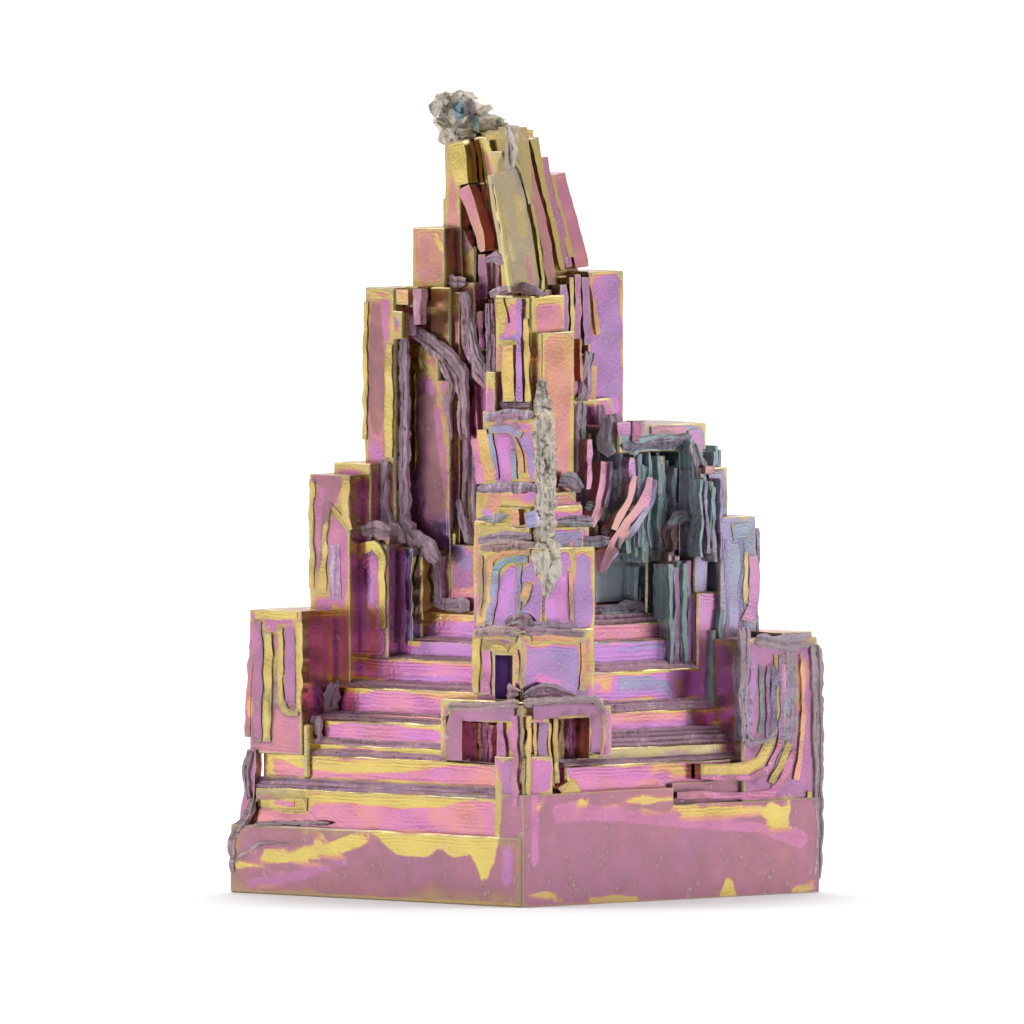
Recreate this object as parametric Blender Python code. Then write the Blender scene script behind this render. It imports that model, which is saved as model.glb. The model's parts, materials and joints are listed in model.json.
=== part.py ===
"""Bismuth hopper crystal, 60 mm tall: a stepped spire of oxidised bismuth, grown as one piece.

The crystal is laid out on its own growth axes. Axis a looks to the front left, axis b to the
front right, and z is up. Four arms stand on the corners of a square foot, and a valley of
terraces climbs between each two arms. All sizes are in millimetres.
"""

import math
import random

import bmesh
import bpy
from mathutils import Matrix, Vector

MM = 0.001
AXIS_TURN = math.radians(225.0)

NAME = "bismuth_crystal"
METAL_COLOUR = (0.56, 0.26, 0.34, 1.0)
METAL_ROUGHNESS = 0.28

# The square foot: outer planes on both growth axes, and the height of its lowest step.
FOOT_A = (-16.1, 15.45)
FOOT_B = (-15.55, 15.45)
FOOT_TOP = 5.2
ROOT_Z = 1.2

# Blocks of the foot's front right side, which stands higher than the front left one.
# Each block is (a from, a to, b from, b to, z from, z to).
FOOT_BLOCKS = (
    (-16.02, 15.2, 3.0, 15.4, 0.9, 7.1),
    (-0.5, 15.18, 3.1, 15.42, 1.0, 8.4),
    (-11.3, -0.9, 3.2, 15.0, 1.1, 8.7),
    (-15.9, 3.0, -15.45, 15.1, 0.8, 6.3),
)

# Terraces of a valley, from the foot up: (outer plane, side from, side to, riser foot, riser top).
FRONT_LEFT = (
    (15.0, -13.3, 12.67, 5.8, 8.05),
    (14.47, -13.0, 12.14, 8.78, 10.58),
    (14.03, -8.9, 7.62, 11.1, 11.4),
    (13.57, -9.02, 7.54, 11.9, 13.24),
    (11.92, -9.14, 7.92, 13.83, 15.63),
    (10.28, -9.26, 7.83, 16.1, 17.83),
    (8.92, -5.4, 7.74, 18.02, 19.22),
    (7.57, -5.5, 7.65, 19.44, 21.24),
)
FRONT_RIGHT = (
    (14.62, -11.0, 10.06, 8.83, 10.35),
    (14.1, -9.76, 8.4, 10.74, 11.49),
    (12.67, -9.64, 7.1, 12.75, 14.03),
    (12.0, -9.52, 7.0, 14.85, 17.1),
    (11.25, -9.4, 6.9, 17.64, 19.29),
    (10.5, -7.5, 6.8, 19.33, 20.53),
    (7.5, -7.4, 6.7, 21.8, 26.07),
)
BACK_RIGHT = (
    (15.3, -12.9, 12.6, 6.3, 8.3),
    (14.6, -12.4, 12.2, 8.8, 10.2),
    (13.8, -9.1, 9.3, 10.9, 12.3),
    (12.5, -9.22, 9.42, 13.1, 14.9),
    (11.1, -9.34, 9.54, 15.5, 17.6),
    (9.7, -7.2, 9.66, 18.1, 20.1),
    (8.1, -7.32, 7.2, 20.7, 23.4),
    (6.6, -6.1, 7.32, 24.1, 27.9),
)
BACK_LEFT = (
    (14.8, -12.8, 12.9, 5.9, 7.6),
    (14.2, -12.3, 12.5, 8.1, 9.8),
    (13.3, -9.15, 9.35, 10.4, 12.0),
    (12.1, -9.27, 9.47, 12.7, 14.6),
    (10.7, -9.39, 9.59, 15.2, 17.0),
    (9.3, -7.25, 9.71, 17.7, 19.8),
    (7.7, -7.37, 7.45, 20.3, 23.0),
    (6.2, -6.15, 7.57, 23.6, 27.2),
)
MICRO_STEPS = 1
WELD = 1.0e-7

# The arms, as square posts that step inwards and upwards. Blocks as above.
LEFT_ARM = (
    (8.9, 14.85, -14.0, -8.48, 1.3, 21.3),
    (9.4, 14.35, -13.5, -9.1, 1.4, 20.2),
    (7.9, 10.2, -9.3, -4.04, 1.5, 26.3),
    (7.8, 9.6, -9.2, -4.5, 1.55, 26.9),
    (6.1, 8.92, -7.1, -3.48, 1.6, 26.1),
    (5.6, 8.1, -4.2, -2.51, 1.65, 25.7),
    (7.0, 11.25, -11.24, -6.99, 1.7, 31.44),
    (6.2, 9.9, -10.1, -6.2, 1.75, 32.3),
    (5.1, 8.4, -8.36, -5.07, 1.8, 45.45),
    (4.5, 7.5, -4.9, -3.53, 44.0, 45.6),
    (2.2, 6.3, -5.3, -3.14, 1.85, 44.5),
    (2.1, 6.45, -3.3, -1.19, 1.9, 45.55),
    (2.0, 6.1, -1.4, -0.53, 1.95, 45.2),
    (2.3, 5.85, -5.82, -2.32, 2.0, 49.95),
    (1.2, 4.5, -3.45, -0.49, 2.05, 48.6),
    (2.05, 4.2, -4.18, -2.16, 2.1, 52.1),
)
LEFT_INNER = (
    (0.4, 6.9, -7.3, -0.74, 2.15, 31.9),
    (0.5, 6.88, -5.3, -0.78, 2.2, 38.6),
    (0.6, 6.86, -5.2, -1.9, 2.25, 41.25),
    (0.7, 6.84, -1.8, 1.91, 2.3, 26.3),
    (0.8, 5.6, -1.0, 3.4, 2.35, 41.0),
    (0.9, 5.9, -0.3, 0.35, 2.4, 37.5),
    (1.0, 5.25, -1.33, 0.26, 2.45, 45.9),
)
RIGHT_ARM = (
    (-16.05, -8.0, 8.2, 15.38, 1.35, 19.2),
    (-15.5, -12.2, 8.9, 15.33, 1.36, 19.6),
    (-14.1, -12.0, 9.4, 15.28, 1.38, 18.9),
    (-10.5, -6.6, 6.3, 12.0, 1.45, 22.7),
    (-6.9, -4.77, 5.2, 11.25, 1.46, 28.2),
    (-8.1, -6.7, 5.9, 11.6, 1.47, 25.4),
    (-12.76, -10.75, 7.3, 12.3, 1.5, 25.8),
    (-12.44, -8.63, 7.2, 12.38, 1.52, 28.28),
    (-10.97, -8.0, 6.4, 10.88, 1.57, 31.94),
    (-9.8, -0.36, 3.1, 9.82, 32.1, 35.3),
    (-9.75, -7.0, 4.9, 9.7, 1.62, 34.1),
    (-9.2, -7.6, 5.5, 9.95, 1.64, 33.2),
    (-6.2, -4.1, 3.4, 9.1, 1.66, 33.0),
    (-7.9, -0.2, 1.5, 6.9, 1.68, 34.6),
    (-3.3, -1.9, 2.6, 8.4, 1.69, 33.4),
    (-5.19, -1.38, 1.9, 5.62, 1.72, 46.7),
    (-2.4, -0.4, 1.3, 5.1, 1.74, 46.2),
)
RIGHT_INNER = (
    (-3.4, 3.9, 0.3, 6.4, 1.76, 37.2),
    (-0.3, 1.05, 1.1, 6.18, 1.78, 40.6),
    (1.2, 2.1, 1.2, 6.3, 1.82, 42.3),
    (1.59, 2.87, 0.9, 5.6, 1.84, 45.1),
    (-0.9, 1.4, 0.5, 4.9, 1.86, 46.4),
)
FRONT_ARM = (
    (12.1, 15.2, 12.3, 15.4, 1.15, 11.2),
    (12.0, 14.95, 12.2, 15.0, 1.25, 14.4),
    (5.2, 14.7, 6.64, 14.66, 10.9, 14.68),
    (6.0, 14.55, 5.9, 14.72, 11.1, 15.27),
    (5.0, 12.75, 7.55, 12.72, 1.27, 20.45),
    (5.96, 12.7, 5.1, 12.77, 1.28, 20.4),
    (4.6, 10.12, 5.46, 12.35, 1.32, 26.48),
    (6.86, 10.08, 4.5, 12.4, 1.34, 26.54),
    (3.3, 9.0, 4.55, 9.85, 1.42, 27.97),
    (2.2, 8.8, 3.6, 9.4, 1.43, 28.3),
    (3.2, 8.7, 6.2, 9.7, 1.44, 29.5),
    (3.1, 8.4, 3.52, 8.85, 1.48, 30.5),
    (2.9, 8.45, 4.26, 10.3, 1.49, 36.5),
    (2.7, 6.38, 3.51, 7.3, 1.51, 45.1),
    (2.6, 6.0, 5.0, 8.1, 1.53, 42.4),
    (2.4, 6.9, 3.0, 4.1, 1.54, 39.4),
)
BACK_ARM = (
    (-15.2, -8.7, -14.9, -8.5, 1.33, 18.7),
    (-14.4, -9.3, -14.2, -9.0, 1.37, 19.7),
    (-12.6, -6.9, -12.2, -7.1, 1.39, 24.8),
    (-11.2, -6.2, -10.9, -6.4, 1.41, 30.9),
    (-9.4, -5.0, -9.1, -5.2, 1.58, 37.6),
    (-7.6, -3.6, -7.3, -3.8, 1.59, 42.1),
    (-6.1, -2.6, -5.8, -2.4, 1.61, 46.3),
    (-4.4, -0.6, -4.1, -0.9, 1.63, 50.4),
)
BACK_LAMELLAE = (
    (-5.7, 3.2, -8.2, -6.9, 1.67, 29.6),
    (-5.5, 2.4, -6.6, -5.4, 1.71, 34.8),
    (-2.9, 3.6, -5.1, -2.0, 1.73, 40.4),
    (-8.4, -7.0, -5.65, 4.6, 1.75, 30.3),
    (-6.9, -5.8, -4.4, 3.9, 1.77, 35.7),
    (-5.0, -2.1, -3.4, 2.9, 1.79, 41.2),
    (-3.1, 2.6, -3.2, 2.2, 1.81, 47.3),
    (-1.6, 2.0, -1.7, 1.6, 1.83, 51.3),
)

# The leaning lamellae of the spire: (a from, a to, b from, b to, z from, z to, lean to the left).
SPIRE_PLATES = (
    (-2.6, 0.6, 0.4, 4.6, 2.51, 53.8, 1.9),
    (-1.3, 1.0, 0.1, 4.3, 2.53, 55.4, 2.2),
    (-0.56, 1.8, 0.3, 4.0, 2.55, 56.5, 2.3),
    (0.9, 4.9, 3.6, 6.1, 2.57, 56.2, 1.5),
    (1.0, 5.2, 3.1, 5.3, 2.59, 54.2, 1.1),
    (0.2, 3.3, 0.5, 5.0, 2.61, 57.0, 1.3),
    (1.1, 4.7, -3.3, -1.7, 2.63, 56.1, 0.2),
    (-0.6, 2.3, -2.9, 1.4, 2.65, 57.3, 0.5),
    (-2.8, 0.4, -3.2, -0.3, 2.67, 54.9, 0.8),
    (-3.9, -1.2, -2.2, 1.6, 2.69, 52.4, 1.4),
)
LEAN_FROM = 46.0
LEAN_POWER = 1.25
LEAN_STOREY = 2.1

# Rough silvery lumps: (a, b, z, radius along x, radius along y, half height, facets, seed).
LUMPS = (
    (3.5, -3.3, 58.1, 1.8, 1.7, 1.95, 2, 11),
    (2.1, -1.6, 57.8, 1.8, 1.5, 1.35, 2, 23),
    (1.1, -0.4, 57.0, 1.5, 1.2, 0.9, 2, 37),
    (8.7, 11.1, 24.4, 0.8, 0.8, 2.0, 2, 41),
    (8.5, 10.6, 28.2, 0.7, 0.7, 3.2, 2, 53),
    (8.3, 10.2, 33.0, 0.75, 0.75, 3.6, 2, 59),
    (6.6, 8.4, 36.9, 0.7, 0.7, 2.6, 2, 67),
)
LUMP_ROUGHNESS = 0.16

# Windows in the hooked rims of the front arm.
WINDOWS = (
    (12.6, 16.0, 8.76, 12.1, 10.65, 13.7),
    (8.02, 11.1, 12.7, 16.0, 10.85, 13.9),
    (11.2, 14.0, 9.89, 11.75, 15.3, 18.6),
)

# Corners broken off the foot: (corner x, corner y, z, size, turn, tilt).
CHIPS = (
    (-22.6, 0.1, 0.2, 2.4, 0.0, 52.0),
    (22.9, -0.4, -0.13, 1.7, 0.0, 41.0),
)


def new_object(name, bm, collection):
    """Turn a mesh under construction into an object of the collection."""
    mesh = bpy.data.meshes.new(name)
    bm.to_mesh(mesh)
    bm.free()
    obj = bpy.data.objects.new(name, mesh)
    collection.objects.link(obj)
    return obj


def block_mesh(a0, a1, b0, b1, z0, z1):
    """A square-edged block between two planes on each growth axis."""
    bm = bmesh.new()
    bmesh.ops.create_cube(bm, size=1.0)
    bmesh.ops.scale(bm, vec=Vector((a1 - a0, b1 - b0, z1 - z0)) * MM, verts=bm.verts)
    middle = Vector((a0 + a1, b0 + b1, z0 + z1)) * (MM / 2)
    bmesh.ops.translate(bm, vec=middle, verts=bm.verts)
    bmesh.ops.rotate(bm, cent=(0, 0, 0), matrix=Matrix.Rotation(AXIS_TURN, 3, "Z"), verts=bm.verts)
    return bm


def terraces(rows, place):
    """The blocks of one valley, with narrow steps on the rise between its risers."""
    for index, (plane, side0, side1, foot, top) in enumerate(rows):
        core = 0.1 + 0.07 * index
        root = ROOT_Z + 0.013 * index
        yield place(core, plane, side0, side1, root, top)
        if index + 1 == len(rows):
            continue
        next_plane = rows[index + 1][0]
        next_foot = rows[index + 1][3]
        for step in range(1, MICRO_STEPS + 1):
            along = step / (MICRO_STEPS + 1)
            inner = plane + (next_plane - plane) * along
            height = top + (next_foot - top) * (step / MICRO_STEPS)
            trim = 0.03 * step
            yield place(core + trim, inner, side0 + trim, side1 - trim, root + trim, height)


def plate_mesh(a0, a1, b0, b1, z0, z1, lean):
    """A block whose top leans over to the left in an even curve."""
    bm = block_mesh(a0, a1, b0, b1, z0, z1)
    storey = LEAN_FROM
    while storey < z1 - 0.3:
        bmesh.ops.bisect_plane(
            bm,
            geom=bm.verts[:] + bm.edges[:] + bm.faces[:],
            plane_co=(0.0, 0.0, storey * MM),
            plane_no=(0.0, 0.0, 1.0),
        )
        storey += LEAN_STOREY
    for vert in bm.verts:
        height = max(0.0, (vert.co.z / MM - LEAN_FROM) / (z1 - LEAN_FROM))
        vert.co.x -= lean * MM * height**LEAN_POWER
    return bm


def lump_mesh(a, b, z, rx, ry, half, facets, seed):
    """A faceted lump with an uneven surface."""
    dice = random.Random(seed)
    bm = bmesh.new()
    bmesh.ops.create_icosphere(bm, subdivisions=facets, radius=1.0)
    for vert in bm.verts:
        vert.co *= 1.0 + dice.uniform(-LUMP_ROUGHNESS, LUMP_ROUGHNESS)
    bmesh.ops.scale(bm, vec=Vector((rx, ry, half)) * MM, verts=bm.verts)
    middle = Matrix.Rotation(AXIS_TURN, 3, "Z") @ (Vector((a, b, z)) * MM)
    bmesh.ops.translate(bm, vec=middle, verts=bm.verts)
    return bm


for old in list(bpy.data.objects):
    bpy.data.objects.remove(old, do_unlink=True)

crystal = bpy.data.collections.new(NAME)
growth = bpy.data.collections.new("growth_blocks")
cutters = bpy.data.collections.new("cutters")
for collection in (crystal, growth, cutters):
    bpy.context.scene.collection.children.link(collection)

solids = []
for group in (FOOT_BLOCKS, LEFT_ARM, LEFT_INNER, RIGHT_ARM, RIGHT_INNER, FRONT_ARM, BACK_ARM, BACK_LAMELLAE):
    for row in group:
        solids.append(block_mesh(*row))
valleys = (
    (FRONT_LEFT, lambda core, out, s0, s1, z0, z1: (core, out, s0, s1, z0, z1)),
    (FRONT_RIGHT, lambda core, out, s0, s1, z0, z1: (s0, s1, core, out, z0, z1)),
    (BACK_RIGHT, lambda core, out, s0, s1, z0, z1: (-out, -core, s0, s1, z0, z1)),
    (BACK_LEFT, lambda core, out, s0, s1, z0, z1: (s0, s1, -out, -core, z0, z1)),
)
for rows, place in valleys:
    for block in terraces(rows, place):
        solids.append(block_mesh(*block))
for row in SPIRE_PLATES:
    solids.append(plate_mesh(*row))
for row in LUMPS:
    solids.append(lump_mesh(*row))
for number, bm in enumerate(solids):
    new_object(f"growth_{number:03d}", bm, growth)
for number, row in enumerate(WINDOWS):
    new_object(f"window_{number}", block_mesh(*row), cutters)
for number, (x, y, z, size, turn, tilt) in enumerate(CHIPS):
    chip = bmesh.new()
    bmesh.ops.create_cube(chip, size=size * MM)
    bmesh.ops.rotate(chip, cent=(0, 0, 0), matrix=Matrix.Rotation(math.radians(tilt), 3, "Y"), verts=chip.verts)
    bmesh.ops.scale(chip, vec=(1.0, 6.0, 1.0), verts=chip.verts)
    bmesh.ops.translate(chip, vec=Vector((x, y, z)) * MM, verts=chip.verts)
    new_object(f"chip_{number}", chip, cutters)

seed_crystal = new_object(
    "seed", block_mesh(FOOT_A[0], FOOT_A[1], FOOT_B[0], FOOT_B[1], 0.0, FOOT_TOP), crystal
)
join = seed_crystal.modifiers.new("grown_together", "BOOLEAN")
join.operation = "UNION"
join.solver = "EXACT"
join.operand_type = "COLLECTION"
join.collection = growth
cut = seed_crystal.modifiers.new("windows_and_chips", "BOOLEAN")
cut.operation = "DIFFERENCE"
cut.solver = "EXACT"
cut.operand_type = "COLLECTION"
cut.collection = cutters

bpy.context.view_layer.update()
grown = bpy.data.meshes.new_from_object(seed_crystal.evaluated_get(bpy.context.evaluated_depsgraph_get()))
body = bmesh.new()
body.from_mesh(grown)
bmesh.ops.remove_doubles(body, verts=body.verts, dist=WELD)
bmesh.ops.dissolve_limit(body, angle_limit=math.radians(0.5), verts=body.verts, edges=body.edges)
bmesh.ops.triangulate(body, faces=body.faces)
xs = [v.co.x for v in body.verts]
ys = [v.co.y for v in body.verts]
zs = [v.co.z for v in body.verts]
centre = Vector(((min(xs) + max(xs)) / 2, (min(ys) + max(ys)) / 2, min(zs)))
bmesh.ops.translate(body, vec=-centre, verts=body.verts)

for helper in list(growth.objects) + [seed_crystal]:
    bpy.data.objects.remove(helper, do_unlink=True)
bpy.data.collections.remove(growth)
for cutter in cutters.objects:
    cutter.hide_render = True
    cutter.display_type = "WIRE"
cutters.hide_render = True

bismuth = bpy.data.materials.new("oxidised_bismuth")
bismuth.use_nodes = True
shader = bismuth.node_tree.nodes["Principled BSDF"]
shader.inputs["Base Color"].default_value = METAL_COLOUR
shader.inputs["Metallic"].default_value = 1.0
shader.inputs["Roughness"].default_value = METAL_ROUGHNESS
grown_crystal = new_object(NAME, body, crystal)
grown_crystal.data.materials.append(bismuth)
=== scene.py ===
import json
import math
import random
import bmesh
import bpy
import numpy as np
from mathutils import Matrix, Vector, kdtree, noise

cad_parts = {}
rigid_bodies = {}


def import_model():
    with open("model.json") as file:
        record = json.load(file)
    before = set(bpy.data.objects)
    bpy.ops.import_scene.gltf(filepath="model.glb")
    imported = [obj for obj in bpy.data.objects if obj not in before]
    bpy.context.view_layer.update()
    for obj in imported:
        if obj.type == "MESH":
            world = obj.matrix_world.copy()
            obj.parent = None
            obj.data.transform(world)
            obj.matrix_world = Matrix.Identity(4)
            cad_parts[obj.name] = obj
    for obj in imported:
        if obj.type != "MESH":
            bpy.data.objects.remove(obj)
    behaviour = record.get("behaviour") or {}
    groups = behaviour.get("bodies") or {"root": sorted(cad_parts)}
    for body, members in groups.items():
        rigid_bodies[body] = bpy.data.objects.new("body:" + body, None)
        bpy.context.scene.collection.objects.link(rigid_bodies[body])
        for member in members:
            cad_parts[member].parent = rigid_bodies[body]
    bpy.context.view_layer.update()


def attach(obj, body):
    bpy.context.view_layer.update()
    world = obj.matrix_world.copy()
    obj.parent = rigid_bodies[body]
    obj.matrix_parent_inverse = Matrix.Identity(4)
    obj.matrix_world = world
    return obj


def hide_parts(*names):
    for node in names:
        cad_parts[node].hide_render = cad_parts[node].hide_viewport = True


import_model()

# The foot is the first crystal that grew: a flat square plate of bismuth, its front right side a
# storey higher than its front left one. Its big faces stayed in the melt longest and are dusty
# mauve, with strips of thinner film along their rims.
grown = bpy.data.collections.new("growth")
films = []

# The whole crystal grew together, so its parts are united at the end. It is laid out on its own growth axes, in
# millimetres: a to the front left, b to the front right, z up. Each part has a film: the oxide's thickness in tenths of
# the colour scale, dust, bare metal, a yellow band of so many mm under the top, the top's height, how rough a ledge it
# is, how far its rims reach in, and haze, a pale whitening that is partly painted light.
FRESH = {
    "oxide": 5.0,
    "dust": 0.0,
    "bare": 0.0,
    "band": 0.0,
    "top": 99.0,
    "ledge": 0.0,
    "fade": 0.4,
    "haze": 0.0,
}


def keep(bm, collection=grown, **film):
    """Take on a part, and tag its faces with the number of its film."""
    tag = bm.faces.layers.int.new("block")
    for face in bm.faces:
        face[tag] = len(films)
    films.append({**FRESH, **film})
    mesh = bpy.data.meshes.new("growth")
    bm.to_mesh(mesh)
    bm.free()
    obj = bpy.data.objects.new("growth", mesh)
    collection.objects.link(obj)
    return obj


def square_block(row, wear=0.07):
    """A square block whose edges are worn off by wear, in mm."""
    a0, a1, b0, b1, z0, z1 = row
    bm = bmesh.new()
    bmesh.ops.create_cube(bm, size=1.0)
    bmesh.ops.scale(bm, vec=(a1 - a0, b1 - b0, z1 - z0), verts=bm.verts)
    bmesh.ops.translate(bm, vec=((a0 + a1) / 2, (b0 + b1) / 2, (z0 + z1) / 2), verts=bm.verts)
    if wear:
        bmesh.ops.bevel(bm, geom=bm.edges, offset=wear, segments=1, affect="EDGES")
    return bm


# The wear of the blocks goes up and down by turns, so that neighbours differ.
LEAST_WEAR = 0.05
MORE_WEAR = 0.04


def grow(rows, oxide, **film):
    """Take on blocks, in rows of (a0, a1, b0, b1, z0, z1[, own oxide[, yellow band mm]])."""
    for row in rows:
        own = {"oxide": row[6] if len(row) > 6 else oxide, "top": row[5], **film}
        if len(row) > 7:
            own["band"] = row[7]
        wear = own.pop("wear", LEAST_WEAR + MORE_WEAR * (len(films) % 3))
        keep(square_block(row[:6], wear), **own)


FOOT = (-16.1, 15.45, -15.55, 15.45, 0.0, 5.2)
grow(
    (
        (-16.02, 15.4, 13.0, 15.5, 0.02, 7.1),
        (-16.0, 14.8, 3.0, 13.1, 0.9, 7.05),
        (-0.5, 15.4, 13.2, 15.5, 1.0, 8.4),
        (-0.6, 14.7, 3.1, 13.3, 1.05, 8.3),
        (-11.3, -0.9, 3.2, 15.0, 1.1, 8.7),
        (-15.9, 3.0, -15.45, 15.1, 0.8, 6.3),
    ),
    oxide=5.0,
    dust=0.85,
    fade=0.08,
    wear=0.0,
)

# Finer growth is drawn square on to the front edge, on a sheet ruled every 0.075 mm. Its lines are
# numbered to the right and down, the front edge stands on line 522 and its foot on line 893.
# Left and right name the two ways that the crystal's faces look.
RULE = 0.075
FRONT_EDGE = 522.0
GROUND = 893.3
LEANS_BACK = 0.0436
ROOT2 = math.sqrt(2.0)
EASED = 5.0
STOREY = 5.0


def spot_on(side, plane, x, y):
    """The point of a face, at this distance out from the core, that lies under (x, y) on the sheet."""
    across = (x - FRONT_EDGE) * RULE
    if side == "left":
        height = RULE * (GROUND - y) + LEANS_BACK * (ROOT2 * plane + across)
        return Vector((plane, plane + ROOT2 * across, height))
    height = RULE * (GROUND - y) + LEANS_BACK * (ROOT2 * plane - across)
    return Vector((plane - ROOT2 * across, plane, height))


class Line:
    """A line of (x, y, width) or (x, y, width, plane) points, read by its share of the length."""

    def __init__(self, points, plane):
        full = [(*p, plane) if len(p) == 3 else p for p in points]
        self.table = np.array(full, float)
        steps = np.hypot(np.diff(self.table[:, 0]), np.diff(self.table[:, 1]))
        self.along = np.concatenate(([0.0], np.cumsum(steps)))
        self.length = self.along[-1]

    def at(self, share):
        return [float(np.interp(share * self.length, self.along, self.table[:, k])) for k in range(4)]

    def square(self, share):
        """The direction across the line, taken over a short stretch so that corners are eased."""
        reach = min(0.5, EASED / self.length)
        x0, y0 = self.at(max(0.0, share - reach))[:2]
        x1, y1 = self.at(min(1.0, share + reach))[:2]
        size = math.hypot(x1 - x0, y1 - y0)
        return -(y1 - y0) / size, (x1 - x0) / size


def storeys(bm, count):
    """Cut a unit shape across into so many storeys, for it to be bent."""
    for k in range(1, count):
        bmesh.ops.bisect_plane(
            bm,
            geom=bm.verts[:] + bm.edges[:] + bm.faces[:],
            plane_co=(0, 0, -0.5 + k / count),
            plane_no=(0, 0, 1),
        )


RIB_COLUMNS = (-0.27, 0.27)
BROAD_RIB = 10.0
WORN_DOWN = 0.4


def rib(side, plane, points, oxide, rise=0.12, deep=0.6, **film):
    """A strip that stands proud of a face along a line."""
    line = Line(points, plane)
    bm = bmesh.new()
    bmesh.ops.create_cube(bm, size=1.0)
    storeys(bm, max(3, int(line.length / STOREY)))
    for column in RIB_COLUMNS:
        bmesh.ops.bisect_plane(
            bm,
            geom=bm.verts[:] + bm.edges[:] + bm.faces[:],
            plane_co=(column, 0, 0),
            plane_no=(1, 0, 0),
        )
    axis = 0 if side == "left" else 1
    for vert in bm.verts:
        share = vert.co.z + 0.5
        x, y, width, depth = line.at(share)
        across, down = line.square(share)
        ragged = 1.6 * noise.noise(Vector((x * 0.09, y * 0.09, vert.co.x * 3.0)))
        out = vert.co.x * width + (ragged if width < BROAD_RIB else 0.5 * ragged)
        spot = spot_on(side, depth, x + across * out, y + down * out)
        spot[axis] += rise * WORN_DOWN if vert.co.y > 0 else -deep
        vert.co = spot
    bmesh.ops.recalc_face_normals(bm, faces=bm.faces)
    keep(bm, oxide=oxide, **{"fade": -1.0, **film})


MORE_STRANDS = (6.5, 10.5, 14.5)
TAPER = 0.3


def rope(side, plane, points, oxide=6.2, rough=0.34, **film):
    """A rough seam of dross along a line: a flat bundle of jagged strands."""
    line = Line(points, plane)
    widest = line.table[:, 2].max()
    strands = 2 + sum(1 for width in MORE_STRANDS if widest >= width)
    dice = random.Random(len(films))
    for strand in range(strands):
        bm = bmesh.new()
        bmesh.ops.create_cone(bm, cap_ends=True, segments=4, radius1=1.0, radius2=1.0, depth=1.0)
        storeys(bm, max(4, int(line.length / STOREY)))
        aside = (strand + 0.5) / strands - 0.5
        lift = dice.uniform(-0.16, 0.1)
        for vert in bm.verts:
            share = vert.co.z + 0.5
            x, y, width, depth = line.at(share)
            across, down = line.square(share)
            run = share * line.length
            wander = noise.noise(Vector((run * 0.07, strand * 7.0, x * 0.02)))
            drift = width * (aside * 0.85 + 0.2 * wander)
            spot = spot_on(side, depth, x + across * drift, y + down * drift)
            jag = noise.noise(Vector((vert.co.x * 2.3 + strand * 5.0, vert.co.y * 2.3, run * 0.2)))
            jag += 1.1 * noise.noise(Vector((strand * 9.0 + vert.co.x * 4.1, vert.co.y * 4.1, run * 1.37)))
            radius = width * RULE / (0.6 + 0.75 * strands) * max(0.35, 1.0 + rough * 2.2 * jag)
            if vert.co.z in (-0.5, 0.5):
                radius *= TAPER
            sideways = Vector((-across, across, 0.0)) / ROOT2 + Vector((0.0, 0.0, -down))
            outwards = Vector((1.0, 1.0, 0.0)) / ROOT2
            out = (vert.co.y * 0.75 - 0.1) * radius + lift
            vert.co = spot + sideways * (vert.co.x * radius) + outwards * out
        bmesh.ops.recalc_face_normals(bm, faces=bm.faces)
        # Painted glints: each strand is whitened by a random amount of haze.
        own = {
            "oxide": oxide + dice.uniform(-1.5, 0.9),
            "haze": dice.uniform(0.0, 0.25),
            "dust": 0.3,
            "ledge": 1.0,
            **film,
        }
        keep(bm, **own)


rib("left", 15.1, ((239, 868, 16), (240, 850, 22), (243, 836, 14)), 5.4, rise=0.1, deep=2.0, dust=0.6)
rib("left", 15.0, ((243, 838, 12), (247, 815, 14), (250, 790, 10), (252, 750, 9)), 5.2, rise=0.1, dust=0.5)
rope("left", 15.35, ((234, 874, 9), (233, 850, 10), (238, 832, 11), (248, 815, 9), (254, 800, 6)), oxide=4.6, dust=0.7)
rope("left", 15.2, ((249, 800, 6), (246, 775, 6), (250, 752, 7)), oxide=4.6, dust=0.6)
rope("left", 15.3, ((240, 834, 6), (262, 826, 5), (290, 824, 4), (330, 823, 3)), oxide=4.6, dust=0.6)
rope("left", 15.42, ((236, 862, 6), (262, 846, 5), (300, 842, 4), (318, 838, 3)), oxide=4.6, dust=0.6)
rib("left", 15.1, ((262, 842, 9), (290, 840, 12), (318, 841, 8)), 4.6, rise=0.2, dust=0.4)
rib("left", 15.0, ((256, 803, 5), (285, 805, 12), (308, 805, 13)), 2.3, rise=0.22, deep=0.4)
rib("left", 15.0, ((276, 803, 6), (296, 804, 7)), 4.5, rise=0.32, deep=0.4)
rib("left", 15.2, ((503, 895, 16), (503, 850, 18), (508, 805, 12), (512, 760, 14)), 5.8, rise=0.22, dust=0.35)
rib("left", 15.3, ((515, 898, 14), (519, 850, 4)), 6.4, rise=0.22, ledge=1.0)
rib("left", 15.36, ((516, 805, 5), (516, 760, 6), (515, 715, 6)), 4.8, rise=0.2, dust=0.3)
rib("right", 15.38, ((527, 868, 4), (528, 790, 5), (529, 716, 5)), 2.1, rise=0.2, dust=0.1)

# The valleys are flights of terraces between the arms. Each row is a riser: its outer plane, its
# side limits, and the height of its foot and top. Narrow rough steps climb from riser to riser.
MICRO_STEPS = 4


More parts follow.
